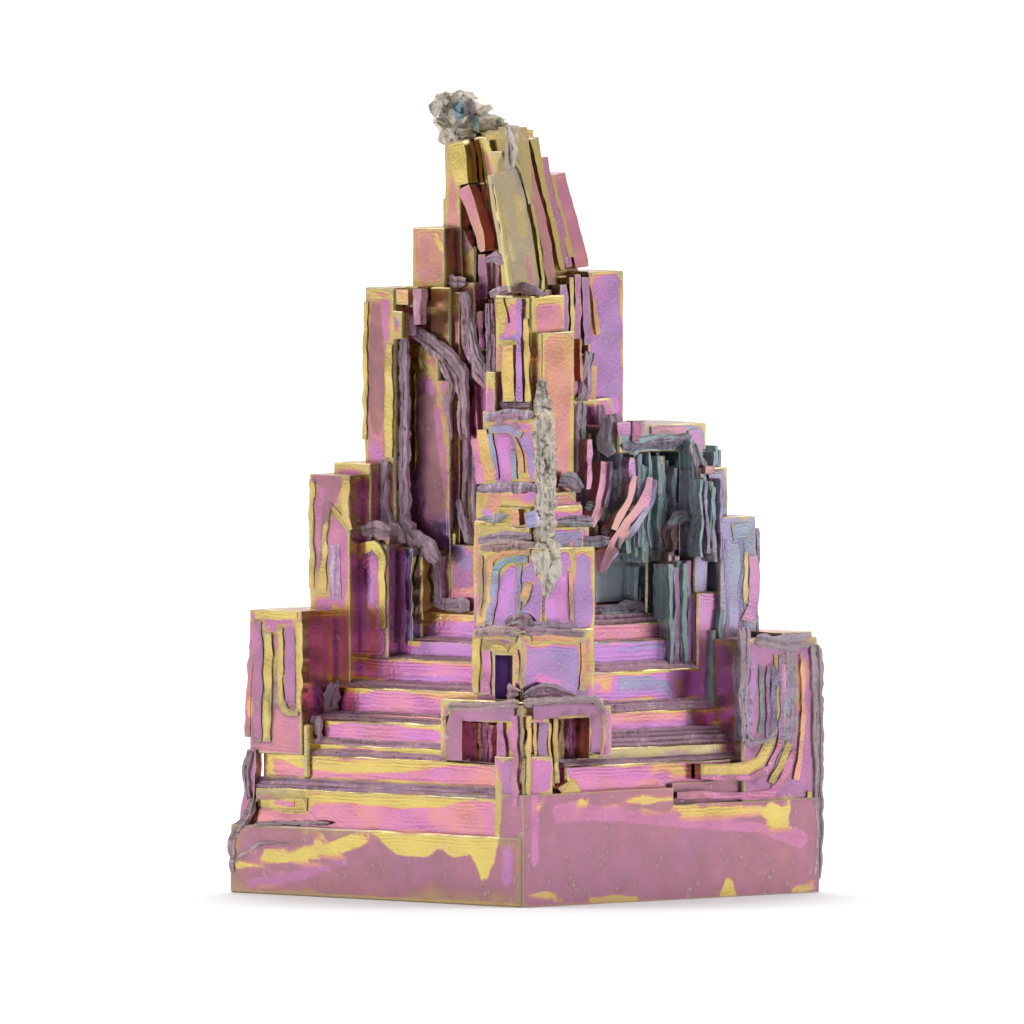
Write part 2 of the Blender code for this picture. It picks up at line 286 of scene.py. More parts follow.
def terraces(rows, place, oxide, seed):
    """A flight from its foot inwards. place puts a step's measures in the order of a block's row."""
    dice = random.Random(seed)
    for index, (plane, side0, side1, foot, top) in enumerate(rows):
        core = 0.1 + 0.07 * index
        root = 1.2 + 0.013 * index
        riser = place(core, plane, side0, side1, root, top)
        grow((riser,), oxide=oxide[index], fade=0.14, band=0.1 + 0.25 * dice.random())
        if index + 1 == len(rows):
            continue
        next_plane, next_foot = rows[index + 1][0], rows[index + 1][3]
        for step in range(1, MICRO_STEPS + 1):
            along = (step - dice.uniform(0.0, 0.6)) / (MICRO_STEPS + 0.5)
            inner = plane + (next_plane - plane) * along
            height = top + (next_foot - top) * (step / MICRO_STEPS)
            trim = 0.03 * step
            tread = place(core + trim, inner, side0 + trim, side1 - trim, root + trim, height)
            grow((tread,), oxide=5.6 + 0.25 * step, dust=0.45, fade=0.05, ledge=1.0)


terraces(
    (
        (15.0, -13.3, 12.67, 5.8, 8.05),
        (14.47, -13.0, 12.14, 8.78, 10.58),
        (14.03, -8.9, 7.62, 11.1, 11.4),
        (13.57, -9.02, 7.54, 11.9, 13.24),
        (11.92, -9.14, 7.92, 13.83, 15.63),
        (10.28, -9.26, 7.83, 16.1, 17.83),
        (8.92, -5.4, 7.74, 18.02, 19.22),
        (7.57, -5.5, 7.65, 19.44, 21.24),
    ),
    lambda core, out, s0, s1, z0, z1: (core, out, s0, s1, z0, z1),
    oxide=(4.5, 4.5, 4.8, 5.0, 5.0, 5.2, 5.9, 5.3),
    seed=3,
)
terraces(
    (
        (14.62, -11.0, 10.06, 8.83, 10.35),
        (14.1, -9.76, 8.4, 10.74, 11.49),
        (12.67, -9.64, 7.1, 12.75, 14.03),
        (12.0, -9.52, 7.0, 14.85, 17.1),
        (11.25, -9.4, 6.9, 17.64, 19.29),
        (10.5, -7.5, 6.8, 19.33, 20.53),
        (7.5, -7.4, 6.7, 21.8, 26.07),
    ),
    lambda core, out, s0, s1, z0, z1: (s0, s1, core, out, z0, z1),
    oxide=(4.8, 5.0, 5.0, 5.6, 6.2, 4.6, 7.6),
    seed=7,
)
terraces(
    (
        (15.3, -12.9, 12.6, 6.3, 8.3),
        (14.6, -12.4, 12.2, 8.8, 10.2),
        (13.8, -9.1, 9.3, 10.9, 12.3),
        (12.5, -9.22, 9.42, 13.1, 14.9),
        (11.1, -9.34, 9.54, 15.5, 17.6),
        (9.7, -7.2, 9.66, 18.1, 20.1),
        (8.1, -7.32, 7.2, 20.7, 23.4),
        (6.6, -6.1, 7.32, 24.1, 27.9),
    ),
    lambda core, out, s0, s1, z0, z1: (-out, -core, s0, s1, z0, z1),
    oxide=(4.6, 5.2, 4.9, 5.6, 5.0, 6.2, 6.6, 5.2),
    seed=11,
)
terraces(
    (
        (14.8, -12.8, 12.9, 5.9, 7.6),
        (14.2, -12.3, 12.5, 8.1, 9.8),
        (13.3, -9.15, 9.35, 10.4, 12.0),
        (12.1, -9.27, 9.47, 12.7, 14.6),
        (10.7, -9.39, 9.59, 15.2, 17.0),
        (9.3, -7.25, 7.4, 17.7, 19.8),
        (7.7, -7.37, 6.7, 20.3, 23.0),
        (6.2, -6.15, 6.6, 23.6, 27.2),
    ),
    lambda core, out, s0, s1, z0, z1: (s0, s1, -out, -core, z0, z1),
    oxide=(5.0, 4.6, 5.6, 5.2, 6.4, 7.2, 6.0, 5.0),
    seed=13,
)

# The left arm: square posts of bismuth that step inwards and up from the foot's left corner. The
# posts outgrew the faces between them, and thin upright plates and dross fill the gaps they left.
def lamellae(side, plane, x0, x1, top, bottom, count, seed, oxides, wide=(2.5, 5.5), proud=0.5, **film):
    """A bundle of thin upright plates, each a little out of line with the next."""
    dice = random.Random(seed)
    for k in range(count):
        x = x0 + (x1 - x0) * (k + dice.uniform(0.2, 0.8)) / count
        width = dice.uniform(*wide)
        high = top + dice.uniform(-0.04, 0.16) * (bottom - top)
        low = bottom - dice.uniform(-0.03, 0.12) * (bottom - top)
        depth = plane + dice.uniform(0.0, proud)
        points = []
        for step in range(6):
            sway = dice.uniform(-1.3, 1.3)
            swell = dice.uniform(0.75, 1.2)
            points.append((x + sway, high + (low - high) * step / 5, width * swell, depth))
        rib(side, plane, points, oxides[k % len(oxides)], rise=0.0, deep=0.9 + proud, **film)


grow(
    (
        (8.9, 14.85, -14.0, -8.48, 10.5, 21.3, 4.8),
        (9.4, 14.35, -13.5, -9.1, 10.7, 20.2),
        (7.9, 10.2, -9.3, -4.04, 1.5, 26.3, 5.4),
        (7.8, 9.6, -9.2, -4.5, 1.55, 26.9),
        (6.1, 8.92, -7.1, -3.48, 1.6, 26.1, 7.2),
        (5.6, 8.1, -4.2, -2.51, 1.65, 25.7, 3.2),
        (7.0, 11.25, -11.24, -6.99, 1.7, 31.44, 4.9),
        (6.2, 9.9, -10.1, -6.2, 1.75, 32.3),
        (5.1, 8.4, -8.36, -5.07, 1.8, 45.45, 4.6),
        (4.5, 7.5, -4.9, -3.53, 44.0, 45.6, 3.0),
        (2.2, 6.3, -5.3, -3.14, 1.85, 44.5, 4.0),
        (2.1, 6.45, -3.3, -1.19, 1.9, 45.55, 3.0),
        (2.0, 6.1, -1.4, -0.53, 1.95, 45.2, 4.4),
        (2.3, 5.85, -5.82, -2.32, 2.0, 49.95, 3.6),
        (1.2, 4.5, -3.45, -0.49, 2.05, 48.6, 2.6),
        (2.05, 4.2, -4.18, -2.16, 2.1, 52.1, 2.3),
    ),
    oxide=4.9,
    dust=0.35,
    fade=0.2,
)
grow(((8.26, 9.0, -4.79, -3.62, 41.66, 43.76, 7.6),), oxide=7.6, dust=0.3, fade=0.15)
grow(((7.2, 8.6, -4.6, -3.8, 41.9, 43.5),), oxide=6.0, ledge=1.0)
grow(
    (
        (0.4, 6.9, -7.3, -0.74, 2.15, 31.9, 5.6),
        (0.5, 6.88, -5.3, -0.78, 2.2, 38.6, 5.0),
        (0.6, 6.86, -5.2, -1.9, 2.25, 41.25, 4.6),
        (0.7, 6.84, -1.8, 1.91, 2.3, 26.3),
        (0.8, 5.6, -1.0, 3.4, 2.35, 41.0),
        (0.9, 5.9, -0.3, 0.35, 2.4, 37.5),
        (1.0, 5.25, -1.33, 0.26, 2.45, 45.9),
    ),
    oxide=5.4,
    dust=0.45,
    fade=0.21,
)
for points, oxide, rise in (
    (((256, 616, 7), (298, 616, 7)), 2.0, 0.1),
    (((254, 622, 6), (250, 680, 5), (247, 738, 5)), 4.4, 0.1),
    (((258, 622, 8), (259, 680, 9), (257, 742, 9)), 5.4, 0.2),
    (((269, 634, 8), (269, 690, 8), (268, 742, 8)), 2.1, 0.26),
    (((281, 628, 5), (282, 660, 5), (281, 700, 6), (286, 712, 7), (299, 714, 7)), 2.0, 0.22),
    (((300, 622, 6), (300, 665, 6), (299, 712, 6)), 2.1, 0.16),
    (((290, 628, 9), (291, 660, 10), (291, 704, 10)), 5.6, 0.12),
):
    rib("left", 14.85, points, oxide, rise=rise, dust=0.55 if oxide > 4 else 0.1)
grow(((13.6, 14.75, -8.49, -7.9, 8.8, 12.9, 4.2),), oxide=4.2, fade=0.25)
rib("left", 14.7, ((293, 723, 3), (292, 744, 3)), 2.2, rise=0.1)
rib("left", 14.6, ((303, 723, 3), (303, 744, 3)), 2.2, rise=0.1)
for points, oxide in (
    (((313, 480, 5), (312, 530, 5), (312, 588, 5)), 2.2),
    (((346, 480, 9), (346, 515, 7), (350, 530, 5)), 2.1),
    (((329, 506, 4), (326, 530, 5), (324, 560, 6), (322, 592, 9)), 2.0),
    (((329, 506, 4), (337, 512, 4), (346, 524, 4)), 2.3),
):
    rib("left", 11.25, points, oxide, rise=0.16, dust=0.1)
rib("left", 11.25, ((334, 545, 12), (336, 600, 12)), 6.0, rise=0.1, ledge=1.0)
for points, oxide in (
    (((349, 606, 5), (348, 560, 6), (353, 542, 5)), 4.4),
    (((355, 575, 5), (356, 556, 8), (364, 548, 12), (375, 546, 10), (382, 556, 7), (383, 628, 6)), 2.2),
    (((361, 604, 6), (362, 570, 6)), 5.0),
):
    rib("left", 10.28, points, oxide, rise=0.12)
for points, width in (
    (((341, 594, 13), (341, 640, 12), (339, 672, 15), (343, 688, 26)), 11.0),
    (((335, 684, 10), (329, 700, 16), (324, 716, 24)), 12.4),
    (((317, 716, 10), (316, 730, 14), (310, 746, 24)), 13.9),
    (((382, 462, 15), (381, 500, 15), (383, 526, 20), (398, 548, 22)), 8.6),
    (((402, 338, 13), (403, 400, 13), (402, 470, 14), (402, 525, 18), (412, 544, 20)), 7.85),
    (((396, 528, 14), (414, 540, 18), (428, 548, 18), (438, 562, 12)), 8.0),
    (((350, 532, 7), (375, 530, 12), (390, 534, 14)), 10.1),
):
    rope("left", width, points, dust=0.35)
rib("left", 8.45, ((366, 302, 4), (365, 380, 4), (365, 440, 4)), 2.2, rise=0.1)
rib("left", 8.45, ((390, 345, 5), (389, 400, 8), (389, 458, 8)), 2.1, rise=0.16)
rib("left", 8.45, ((404, 290, 12), (404, 305, 12)), 3.0, rise=0.4, deep=2.0)
rib("left", 8.45, ((418, 290, 7), (417, 325, 6)), 4.8, rise=0.2, ledge=1.0)
lamellae("left", 8.3, 388, 402, 545, 648, 4, 21, (6.2, 5.2), wide=(3, 5), proud=0.6, ledge=1.0, dust=0.2)
rib("left", 8.96, ((404, 550, 4), (405, 644, 4)), 6.2, rise=0.3, deep=1.6)
rib("left", 8.8, ((409, 548, 8), (409, 600, 8), (410, 642, 8)), 7.5, rise=0.2, deep=1.6)
rib("left", 8.2, ((417, 546, 7), (419, 600, 7), (419, 624, 7)), 3.1, rise=0.0, deep=1.6, dust=0.2)
rib("left", 8.3, ((422, 556, 2.5), (423, 620, 2.5)), 2.2, rise=0.2, deep=1.6)
lamellae("left", 7.2, 425, 441, 552, 608, 4, 22, (7.0, 6.6), wide=(3.5, 5.5), proud=0.3, ledge=1.0, dust=0.3)
rope("left", 7.2, ((428, 600, 10), (450, 605, 12), (470, 606, 10)), oxide=7.0)
for points in (
    ((413, 330, 10), (430, 343, 13), (447, 356, 14), (460, 374, 14), (463, 400, 10), (464, 440, 9)),
    ((424, 334, 7), (445, 350, 8), (458, 366, 9)),
    ((464, 292, 9), (467, 320, 11), (470, 350, 14), (482, 372, 16), (494, 388, 14), (498, 402, 10)),
    ((490, 304, 9), (492, 345, 9), (492, 378, 12)),
    ((441, 362, 6), (452, 385, 6), (448, 405, 6), (451, 440, 4)),
):
    rope("left", 6.95, [(*p, 6.95 - 0.02 * max(0, p[0] - 440)) for p in points], oxide=5.7, dust=0.5, rough=0.22)
lamellae("left", 5.7, 451, 475, 388, 534, 7, 23, (6.0, 5.6, 6.8), wide=(2.5, 5), proud=0.5, ledge=1.0, dust=0.3)
rope("left", 6.3, ((458, 500, 6), (466, 530, 8), (472, 545, 6)), oxide=6.8)
rib("left", 5.9, ((472, 385, 7), (474, 430, 8), (482, 484, 10)), 4.6, rise=0.1, deep=0.8)
for points, oxide in (
    (((413, 345, 10), (416, 362, 14), (420, 372, 12)), 2.1),
    (((413, 372, 4), (413, 420, 4), (414, 470, 4)), 2.3),
):
    rib("left", 6.9, points, oxide, rise=0.1)

# The right arm: posts that step up to a broad shoulder, which cooled last and went on to blue and
# teal. The shoulder's face is a bundle of thin upright plates, seamed and crossed by dross.
grow(
    (
        (-16.05, -8.0, 8.2, 15.38, 1.35, 19.2),
        (-15.5, -12.2, 8.9, 15.33, 1.36, 19.6),
        (-14.1, -12.0, 9.4, 15.28, 1.38, 18.9),
    ),
    oxide=5.8,
    dust=0.55,
    fade=0.24,
)
grow(
    (
        (-10.5, -6.6, 6.3, 12.0, 1.45, 22.7, 5.2),
        (-6.9, -4.77, 5.2, 9.0, 1.46, 28.2, 5.0),
        (-8.1, -6.7, 5.9, 11.6, 1.47, 25.4, 7.4),
        (-12.76, -10.75, 7.3, 12.3, 1.5, 25.8, 5.8),
        (-12.44, -8.63, 7.2, 12.38, 1.52, 28.28, 7.6),
        (-10.97, -8.0, 6.4, 10.88, 1.57, 31.94, 8.0),
        (-9.8, -0.36, 3.1, 9.82, 33.2, 35.3, 9.3),
        (-9.75, -7.0, 4.9, 9.7, 1.62, 34.1),
        (-9.2, -7.6, 5.5, 9.95, 1.64, 33.2),
        (-6.2, -4.1, 3.4, 9.1, 1.66, 33.0),
        (-7.9, -0.2, 1.5, 6.9, 1.68, 34.6),
        (-3.3, -1.9, 2.6, 8.4, 26.4, 33.4),
    ),
    oxide=8.3,
    dust=0.1,
    fade=0.03,
    haze=0.1,
)
# Painted light: haze whitens this teal face, which would otherwise reflect dark.
grow(((-7.3, 0.0, 6.0, 7.56, 21.9, 26.0),), oxide=8.0, haze=0.35, fade=0.02)
grow(
    (
        (-5.19, -1.38, 1.9, 5.62, 1.72, 46.7, 6.2),
        (-2.4, -0.4, 1.3, 5.1, 1.74, 46.2, 3.4),
        (-3.4, 3.9, 0.3, 6.4, 1.76, 37.2, 5.2),
        (-0.3, 1.05, 1.1, 6.18, 1.78, 40.6, 5.0),
        (1.2, 2.1, 1.2, 6.3, 1.82, 42.3, 4.6),
        (1.59, 2.87, 0.9, 5.6, 1.84, 45.1, 4.4),
        (-0.9, 1.4, 0.5, 4.9, 1.86, 46.4, 3.6),
    ),
    oxide=4.9,
    dust=0.3,
    fade=0.21,
)
ARM = 15.4
for points, oxide, rise in (
    (
        ((700, 770, 12), (745, 769, 13), (760, 762, 12), (770, 742, 9), (776, 715, 8), (778, 690, 7), (776, 655, 6)),
        2.6,
        0.12,
    ),
    (
        ((700, 778, 5), (750, 778, 5), (768, 768, 5), (779, 745, 5), (783, 715, 4), (784, 690, 4), (782, 655, 4)),
        4.8,
        0.2,
    ),
    (((770, 783, 6), (782, 762, 8), (789, 744, 6)), 2.3, 0.28),
    (((676, 795, 7), (745, 796, 8), (772, 794, 9), (784, 778, 9), (794, 752, 5)), 4.7, 0.16),
    (((801, 655, 3), (803, 700, 4), (800, 745, 4), (795, 780, 5)), 3.6, 0.3),
    (((810, 792, 5), (808, 802, 6)), 2.1, 0.2),
):
    rib("right", ARM, points, oxide, rise=rise)
for points in (
    ((756, 640, 12), (785, 645, 14), (812, 640, 14)),
    ((789, 650, 10), (791, 690, 11), (790, 725, 11), (784, 752, 9), (770, 786, 8)),
    ((815, 645, 11), (817, 700, 11), (818, 760, 10), (819, 830, 7), (817, 880, 8)),
    ((742, 628, 12), (744, 650, 9), (742, 700, 9), (744, 735, 8), (752, 744, 8)),
    ((745, 742, 6), (765, 741, 6), (776, 726, 6)),
):
    rope("right", ARM, points, oxide=5.4, dust=0.5, rough=0.22, haze=0.3)
lamellae("right", 14.7, 744, 770, 652, 738, 5, 31, (7.4, 7.6, 6.6), wide=(3, 6), proud=0.4, dust=0.2)
rib("right", 14.8, ((756, 722, 5), (757, 700, 6), (760, 690, 3)), 5.4, rise=0.2)
rib("right", 14.6, ((738, 640, 5), (739, 690, 6), (737, 735, 6)), 3.4, rise=0.2)
FACES = (7.6, 8.6, 9.2, 8.2, 8.8)
lamellae("right", 8.6, 620, 690, 452, 560, 20, 32, FACES, wide=(2.5, 5.5), proud=1.2, ledge=0.6)
lamellae("right", 9.9, 688, 722, 446, 640, 11, 33, FACES, wide=(2.5, 5.5), proud=0.9, ledge=0.7)
lamellae("right", 11.4, 722, 745, 520, 646, 8, 34, FACES, wide=(2.5, 5), proud=0.8, ledge=0.7)
lamellae("right", 11.1, 668, 700, 560, 690, 10, 35, (7.8, 8.8, 6.4, 9.4), wide=(2.5, 5.5), proud=0.7, ledge=0.7)
lamellae("right", 11.7, 712, 742, 610, 745, 9, 36, (8.4, 7.8, 9.2), wide=(2.5, 5), proud=0.8, ledge=0.7)
lamellae("right", 8.3, 634, 668, 560, 640, 7, 37, (8.8, 9.3, 7.6), wide=(3, 6), proud=0.6, ledge=0.7)
for plane, points in (
    (9.9, ((622, 446, 10), (645, 446, 8), (668, 443, 10), (692, 436, 9))),
    (9.9, ((628, 452, 6), (655, 441, 6), (690, 440, 6))),
    (10.6, ((693, 444, 10), (700, 470, 12), (705, 515, 10), (702, 550, 12), (694, 580, 9))),
    (11.3, ((708, 548, 10), (718, 570, 12), (722, 600, 12), (722, 640, 12))),
    (10.7, ((668, 525, 8), (680, 516, 10), (695, 522, 9), (700, 545, 8))),
    (8.8, ((600, 612, 8), (625, 610, 12), (650, 612, 14), (668, 626, 12))),
    (12.0, ((740, 545, 8), (748, 556, 6), (744, 585, 6), (742, 612, 6))),
    (11.9, ((728, 590, 14), (732, 620, 12), (738, 640, 8))),
    (8.4, ((586, 505, 8), (600, 512, 10), (612, 522, 12), (606, 536, 10))),
    (9.0, ((615, 470, 6), (621, 500, 6), (612, 528, 8))),
):
    rope("right", plane, points, oxide=8.7, rough=0.4, dust=0.0)
for plane, points, oxide in (
    (8.7, ((606, 462, 11), (604, 485, 11), (600, 508, 10), (590, 526, 7)), 4.3),
    (8.9, ((611, 462, 3), (610, 485, 4), (606, 508, 4)), 6.8),
    (8.8, ((590, 440, 5), (589, 470, 5), (588, 490, 4)), 4.6),
    (9.9, ((650, 478, 5), (645, 500, 9), (630, 522, 12, 9.7), (614, 545, 12, 8.9), (602, 574, 6, 7.7)), 4.4),
    (9.85, ((655, 480, 4), (652, 502, 5), (636, 526, 7), (622, 545, 9, 8.8), (610, 560, 6, 8.0)), 7.2),
    (10.0, ((634, 476, 5), (630, 500, 6), (620, 515, 7, 9.7), (614, 530, 6, 9.4)), 4.1),
    (9.95, ((632, 458, 5), (631, 470, 6), (633, 482, 5)), 5.6),
    (10.7, ((674, 550, 5), (674, 528, 5), (680, 521, 6), (689, 524, 4)), 4.6),
    (10.6, ((671, 552, 5), (670, 590, 5), (671, 615, 5)), 4.7),
    (10.8, ((677, 556, 5), (676, 590, 6), (676, 610, 5)), 6.8),
    (11.6, ((697, 690, 4), (697, 620, 5), (702, 604, 7), (712, 597, 7), (717, 606, 5)), 3.9),
    (11.5, ((708, 612, 12), (706, 640, 12)), 7.3),
    (10.8, ((700, 580, 4), (703, 565, 4)), 4.6),
    (9.9, ((694, 430, 13), (697, 445, 12), (698, 458, 9)), 5.3),
    (9.85, ((617, 430, 14), (645, 428, 14)), 5.1),
    (9.9, ((651, 431, 8), (686, 430, 8)), 4.6),
    (9.95, ((634, 441, 5), (660, 438, 8), (690, 440, 5)), 8.9),
    (11.0, ((716, 472, 16), (718, 492, 14), (720, 506, 10)), 7.6),
    (11.2, ((705, 470, 8), (715, 470, 8)), 4.0),
    (12.3, ((724, 525, 5), (725, 550, 5), (725, 585, 4)), 4.9),
    (12.4, ((741, 524, 20), (743, 540, 18)), 7.6),
    (12.42, ((753, 556, 9), (755, 585, 10), (753, 606, 10), (747, 622, 13)), 5.0),
    (12.4, ((745, 552, 4), (746, 580, 4), (746, 604, 4)), 2.0),
):
    rib("right", plane, points, oxide, rise=0.1, deep=0.9, haze=0.15)
lamellae("right", 12.33, 724, 760, 528, 640, 8, 38, (7.6, 5.4, 8.6, 7.0), wide=(2, 4), proud=0.12, ledge=0.4)
lamellae("right", 12.2, 700, 722, 480, 560, 5, 39, (8.4, 7.4, 9.0), wide=(2, 4), proud=0.3, ledge=0.6)
lamellae("right", 15.42, 742, 800, 654, 742, 8, 40, (7.6, 6.6, 8.2, 6.4), wide=(3, 7), proud=0.1, ledge=0.6)

# The front arm: square storeys over the foot's front corner, with hooked rims low down. The rims
# grew on round faces that had stopped, so each storey is edged with strips of thinner film.
grow(
    (
        (12.1, 15.2, 12.3, 15.4, 1.15, 11.2),
        (12.0, 14.95, 12.2, 15.0, 1.25, 14.4),
        (5.2, 14.7, 6.64, 14.66, 10.9, 14.68),
        (6.0, 14.55, 5.9, 14.72, 11.1, 15.27),
        (5.0, 12.75, 7.55, 12.72, 1.27, 20.45, 5.6),
        (5.96, 12.7, 7.6, 12.77, 1.28, 20.4, 6.4),
        (4.6, 10.12, 5.46, 12.35, 1.32, 26.48, 6.6),
        (6.86, 10.08, 5.6, 12.4, 1.34, 26.54, 6.0),
        (3.3, 9.0, 4.55, 9.85, 1.42, 27.97, 7.2),
        (2.2, 8.8, 3.6, 9.4, 1.43, 28.3, 5.4),
        (3.2, 8.7, 6.2, 9.7, 1.44, 29.5),
        (3.1, 8.4, 3.52, 8.85, 1.48, 30.5, 3.8),
        (6.7, 8.45, 4.26, 10.3, 1.49, 36.5, 5.8),
        (2.7, 6.38, 3.51, 7.3, 1.51, 45.1, 4.2),
        (2.6, 6.0, 5.0, 8.1, 1.53, 42.4, 3.6),
        (2.4, 6.9, 3.0, 4.1, 1.54, 39.4),
    ),
    oxide=5.4,
    dust=0.2,
    fade=0.21,
)
# The strips cross each other, so each stands at a height of its own.
HOOK = 15.05
HOOK_RISE = 0.14
HOOK_STAGGER = 0.02
for side, points, oxide, dust in (
    ("left", ((456, 760, 20), (456, 730, 20), (459, 714, 16), (480, 713, 14), (514, 713, 14)), 5.6, 0.75),
    ("left", ((446, 762, 3), (446, 716, 3)), 2.4, 0.4),
    ("left", ((464, 760, 3), (464, 726, 3)), 4.0, 0.3),
    ("left", ((503, 790, 8), (503, 755, 7), (500, 722, 6)), 5.2, 0.2),
    ("right", ((533, 712, 14), (575, 710, 14), (592, 712, 18), (597, 730, 14), (596, 752, 12)), 5.8, 0.7),
    ("right", ((602, 714, 3), (604, 735, 3), (601, 754, 3)), 2.3, 0.2),
    ("right", ((587, 718, 4), (588, 735, 4), (587, 756, 4), (598, 756, 3)), 2.2, 0.2),
    ("right", ((534, 722, 3), (534, 755, 3), (539, 785, 4), (542, 798, 8)), 2.1, 0.1),
    ("right", ((542, 722, 9), (541, 750, 10), (546, 782, 8)), 6.2, 0.5),
    ("right", ((549, 722, 3), (549, 752, 3), (553, 785, 3)), 2.2, 0.1),
    ("right", ((555, 718, 4), (555, 752, 5), (557, 782, 5)), 2.3, 0.3),
    ("right", ((557, 717, 4), (586, 716, 4)), 2.4, 0.4),
    ("right", ((565, 782, 20), (570, 790, 18), (580, 800, 12)), 2.2, 0.1),
):
    height = HOOK_RISE + HOOK_STAGGER * (len(films) % 5)
    rib(side, HOOK, points, oxide, rise=height, deep=0.5, dust=dust)
rope("left", 15.1, ((448, 707, 7), (485, 706, 7), (519, 703, 8)), oxide=3.0, dust=0.8, rough=0.2)
rope("right", 15.0, ((524, 703, 8), (560, 701, 7), (594, 700, 8), (603, 712, 6)), oxide=2.8, dust=0.7, rough=0.2)
rope("left", 15.1, ((521, 895, 4), (521, 800, 3), (521, 705, 5)), oxide=2.6, dust=0.5, rough=0.3, ledge=0.0)
rope("right", 14.0, ((556, 756, 10), (566, 762, 9), (580, 758, 8)), oxide=6.5, rough=0.5)
rib("right", 13.6, ((569, 726, 12), (571, 745, 12)), 4.6, rise=0.0, deep=0.4, dust=0.9)
rope("left", -0.2, ((609, 418, 10), (605, 432, 12), (604, 444, 12), (611, 456, 12)), oxide=7.9, dust=0.0, haze=0.3)
rib("left", 4.7, ((493, 134, 14), (495, 146, 12), (497, 158, 6)), 2.1, deep=1.0, dust=0.2)
linings = bpy.data.collections.new("linings")
lining = {"proud": 0.5, "ledge": 0.5, "collection": linings}
lamellae("left", 13.0, 463, 492, 718, 764, 6, 41, (5.4, 4.6, 7.4, 2.6), wide=(3, 6), **lining)
lamellae("right", 13.0, 560, 592, 718, 764, 6, 43, (1.6, 4.8, 5.6, 2.4), wide=(3, 6), **lining)
SHELF = 12.8
for side, points, oxide in (
    ("left", ((477, 638, 8), (477, 665, 8), (476, 692, 6)), 2.4),
    ("left", ((481, 636, 6), (505, 636, 6), (516, 640, 7)), 2.9),
    ("left", ((491, 648, 6), (500, 648, 6), (508, 650, 5)), 2.1),
    ("left", ((486, 650, 9), (487, 670, 9), (486, 694, 9)), 4.9),
    ("left", ((516, 650, 4), (518, 675, 3)), 3.0),
    ("right", ((532, 638, 6), (560, 637, 7), (582, 640, 6)), 3.1),
    ("right", ((583, 642, 5), (583, 670, 5), (580, 690, 5)), 3.2),
):
    rib(side, SHELF, points, oxide, rise=0.1)
rope("left", 12.9, ((475, 633, 7), (500, 631, 7), (520, 632, 8)), oxide=3.6, dust=0.6, rough=0.2)
rope("right", 12.9, ((524, 632, 7), (555, 632, 6), (584, 634, 6)), oxide=4.6, dust=0.6, rough=0.2)
rope("left", 13.2, ((496, 694, 10), (505, 690, 16), (518, 696, 14)), oxide=6.4)
rope("right", 13.2, ((524, 697, 8), (540, 690, 15), (556, 692, 14), (575, 698, 8)), oxide=6.6)
rope("right", 12.8, ((521, 634, 4), (523, 660, 3), (522, 690, 4)), oxide=2.6, dust=0.4, ledge=0.0)
for side, plane, points, oxide in (
    ("left", 10.15, ((481, 556, 4), (481, 600, 4), (478, 626, 4)), 3.0),
    ("left", 10.15, ((530, 552, 5), (505, 553, 6), (490, 562, 6), (488, 600, 6), (482, 626, 7)), 3.1),
    ("left", 10.15, ((528, 559, 7), (508, 560, 7), (496, 568, 7), (494, 600, 7), (488, 624, 8)), 7.7),
    ("left", 10.15, ((521, 565, 4), (519, 590, 4), (518, 610, 4)), 7.6),
    ("left", 10.15, ((529, 584, 7), (526, 594, 10), (523, 602, 6)), 3.2),
    ("right", 12.42, ((570, 572, 4), (571, 600, 4), (571, 620, 4)), 3.6),
    ("left", 8.5, ((482, 430, 10), (485, 455, 11), (491, 482, 13)), 2.5),
    ("left", 8.5, ((490, 434, 5), (493, 455, 5), (497, 480, 5)), 7.5),
    ("left", 8.5, ((490, 430, 7), (510, 429, 7), (522, 436, 8)), 7.4),
    ("left", 8.5, ((514, 438, 3), (520, 455, 5), (523, 474, 5)), 3.1),
    ("left", 8.5, ((514, 452, 4), (515, 480, 5)), 7.5),
    ("left", 8.42, ((480, 493, 6), (513, 493, 6)), 2.6),
    ("left", 8.42, ((484, 511, 6), (494, 518, 7), (508, 512, 6)), 5.6),
    ("left", 9.0, ((514, 510, 8), (517, 526, 7)), 3.1),
    ("left", 9.0, ((530, 512, 12), (533, 528, 12)), 7.2),
    ("left", 6.45, ((499, 300, 8), (502, 312, 10), (505, 325, 7)), 2.0),
    ("left", 6.45, ((500, 338, 6), (523, 338, 6)), 6.0),
    ("left", 6.6, ((508, 346, 10), (508, 372, 12), (509, 402, 11)), 2.4),
    ("left", 6.55, ((519, 300, 6), (519, 350, 6), (519, 402, 6)), 5.9),
    ("left", 6.45, ((526, 320, 5), (527, 360, 5), (528, 402, 6)), 2.2),
    ("right", 6.35, ((535, 338, 5), (536, 372, 5), (537, 412, 5)), 2.2),
    ("right", 6.35, ((543, 340, 4), (543, 380, 4), (543, 414, 4)), 4.6),
    ("right", 6.35, ((557, 300, 3), (557, 350, 3), (558, 414, 3)), 2.3),
    ("right", 8.3, ((581, 382, 2), (580, 340, 2)), 3.6),
    ("right", 8.86, ((555, 505, 4), (580, 505, 4)), 4.6),
    ("right", 9.72, ((561, 530, 8), (566, 538, 7)), 4.2),
):
    rib(side, plane, points, oxide, rise=0.09)
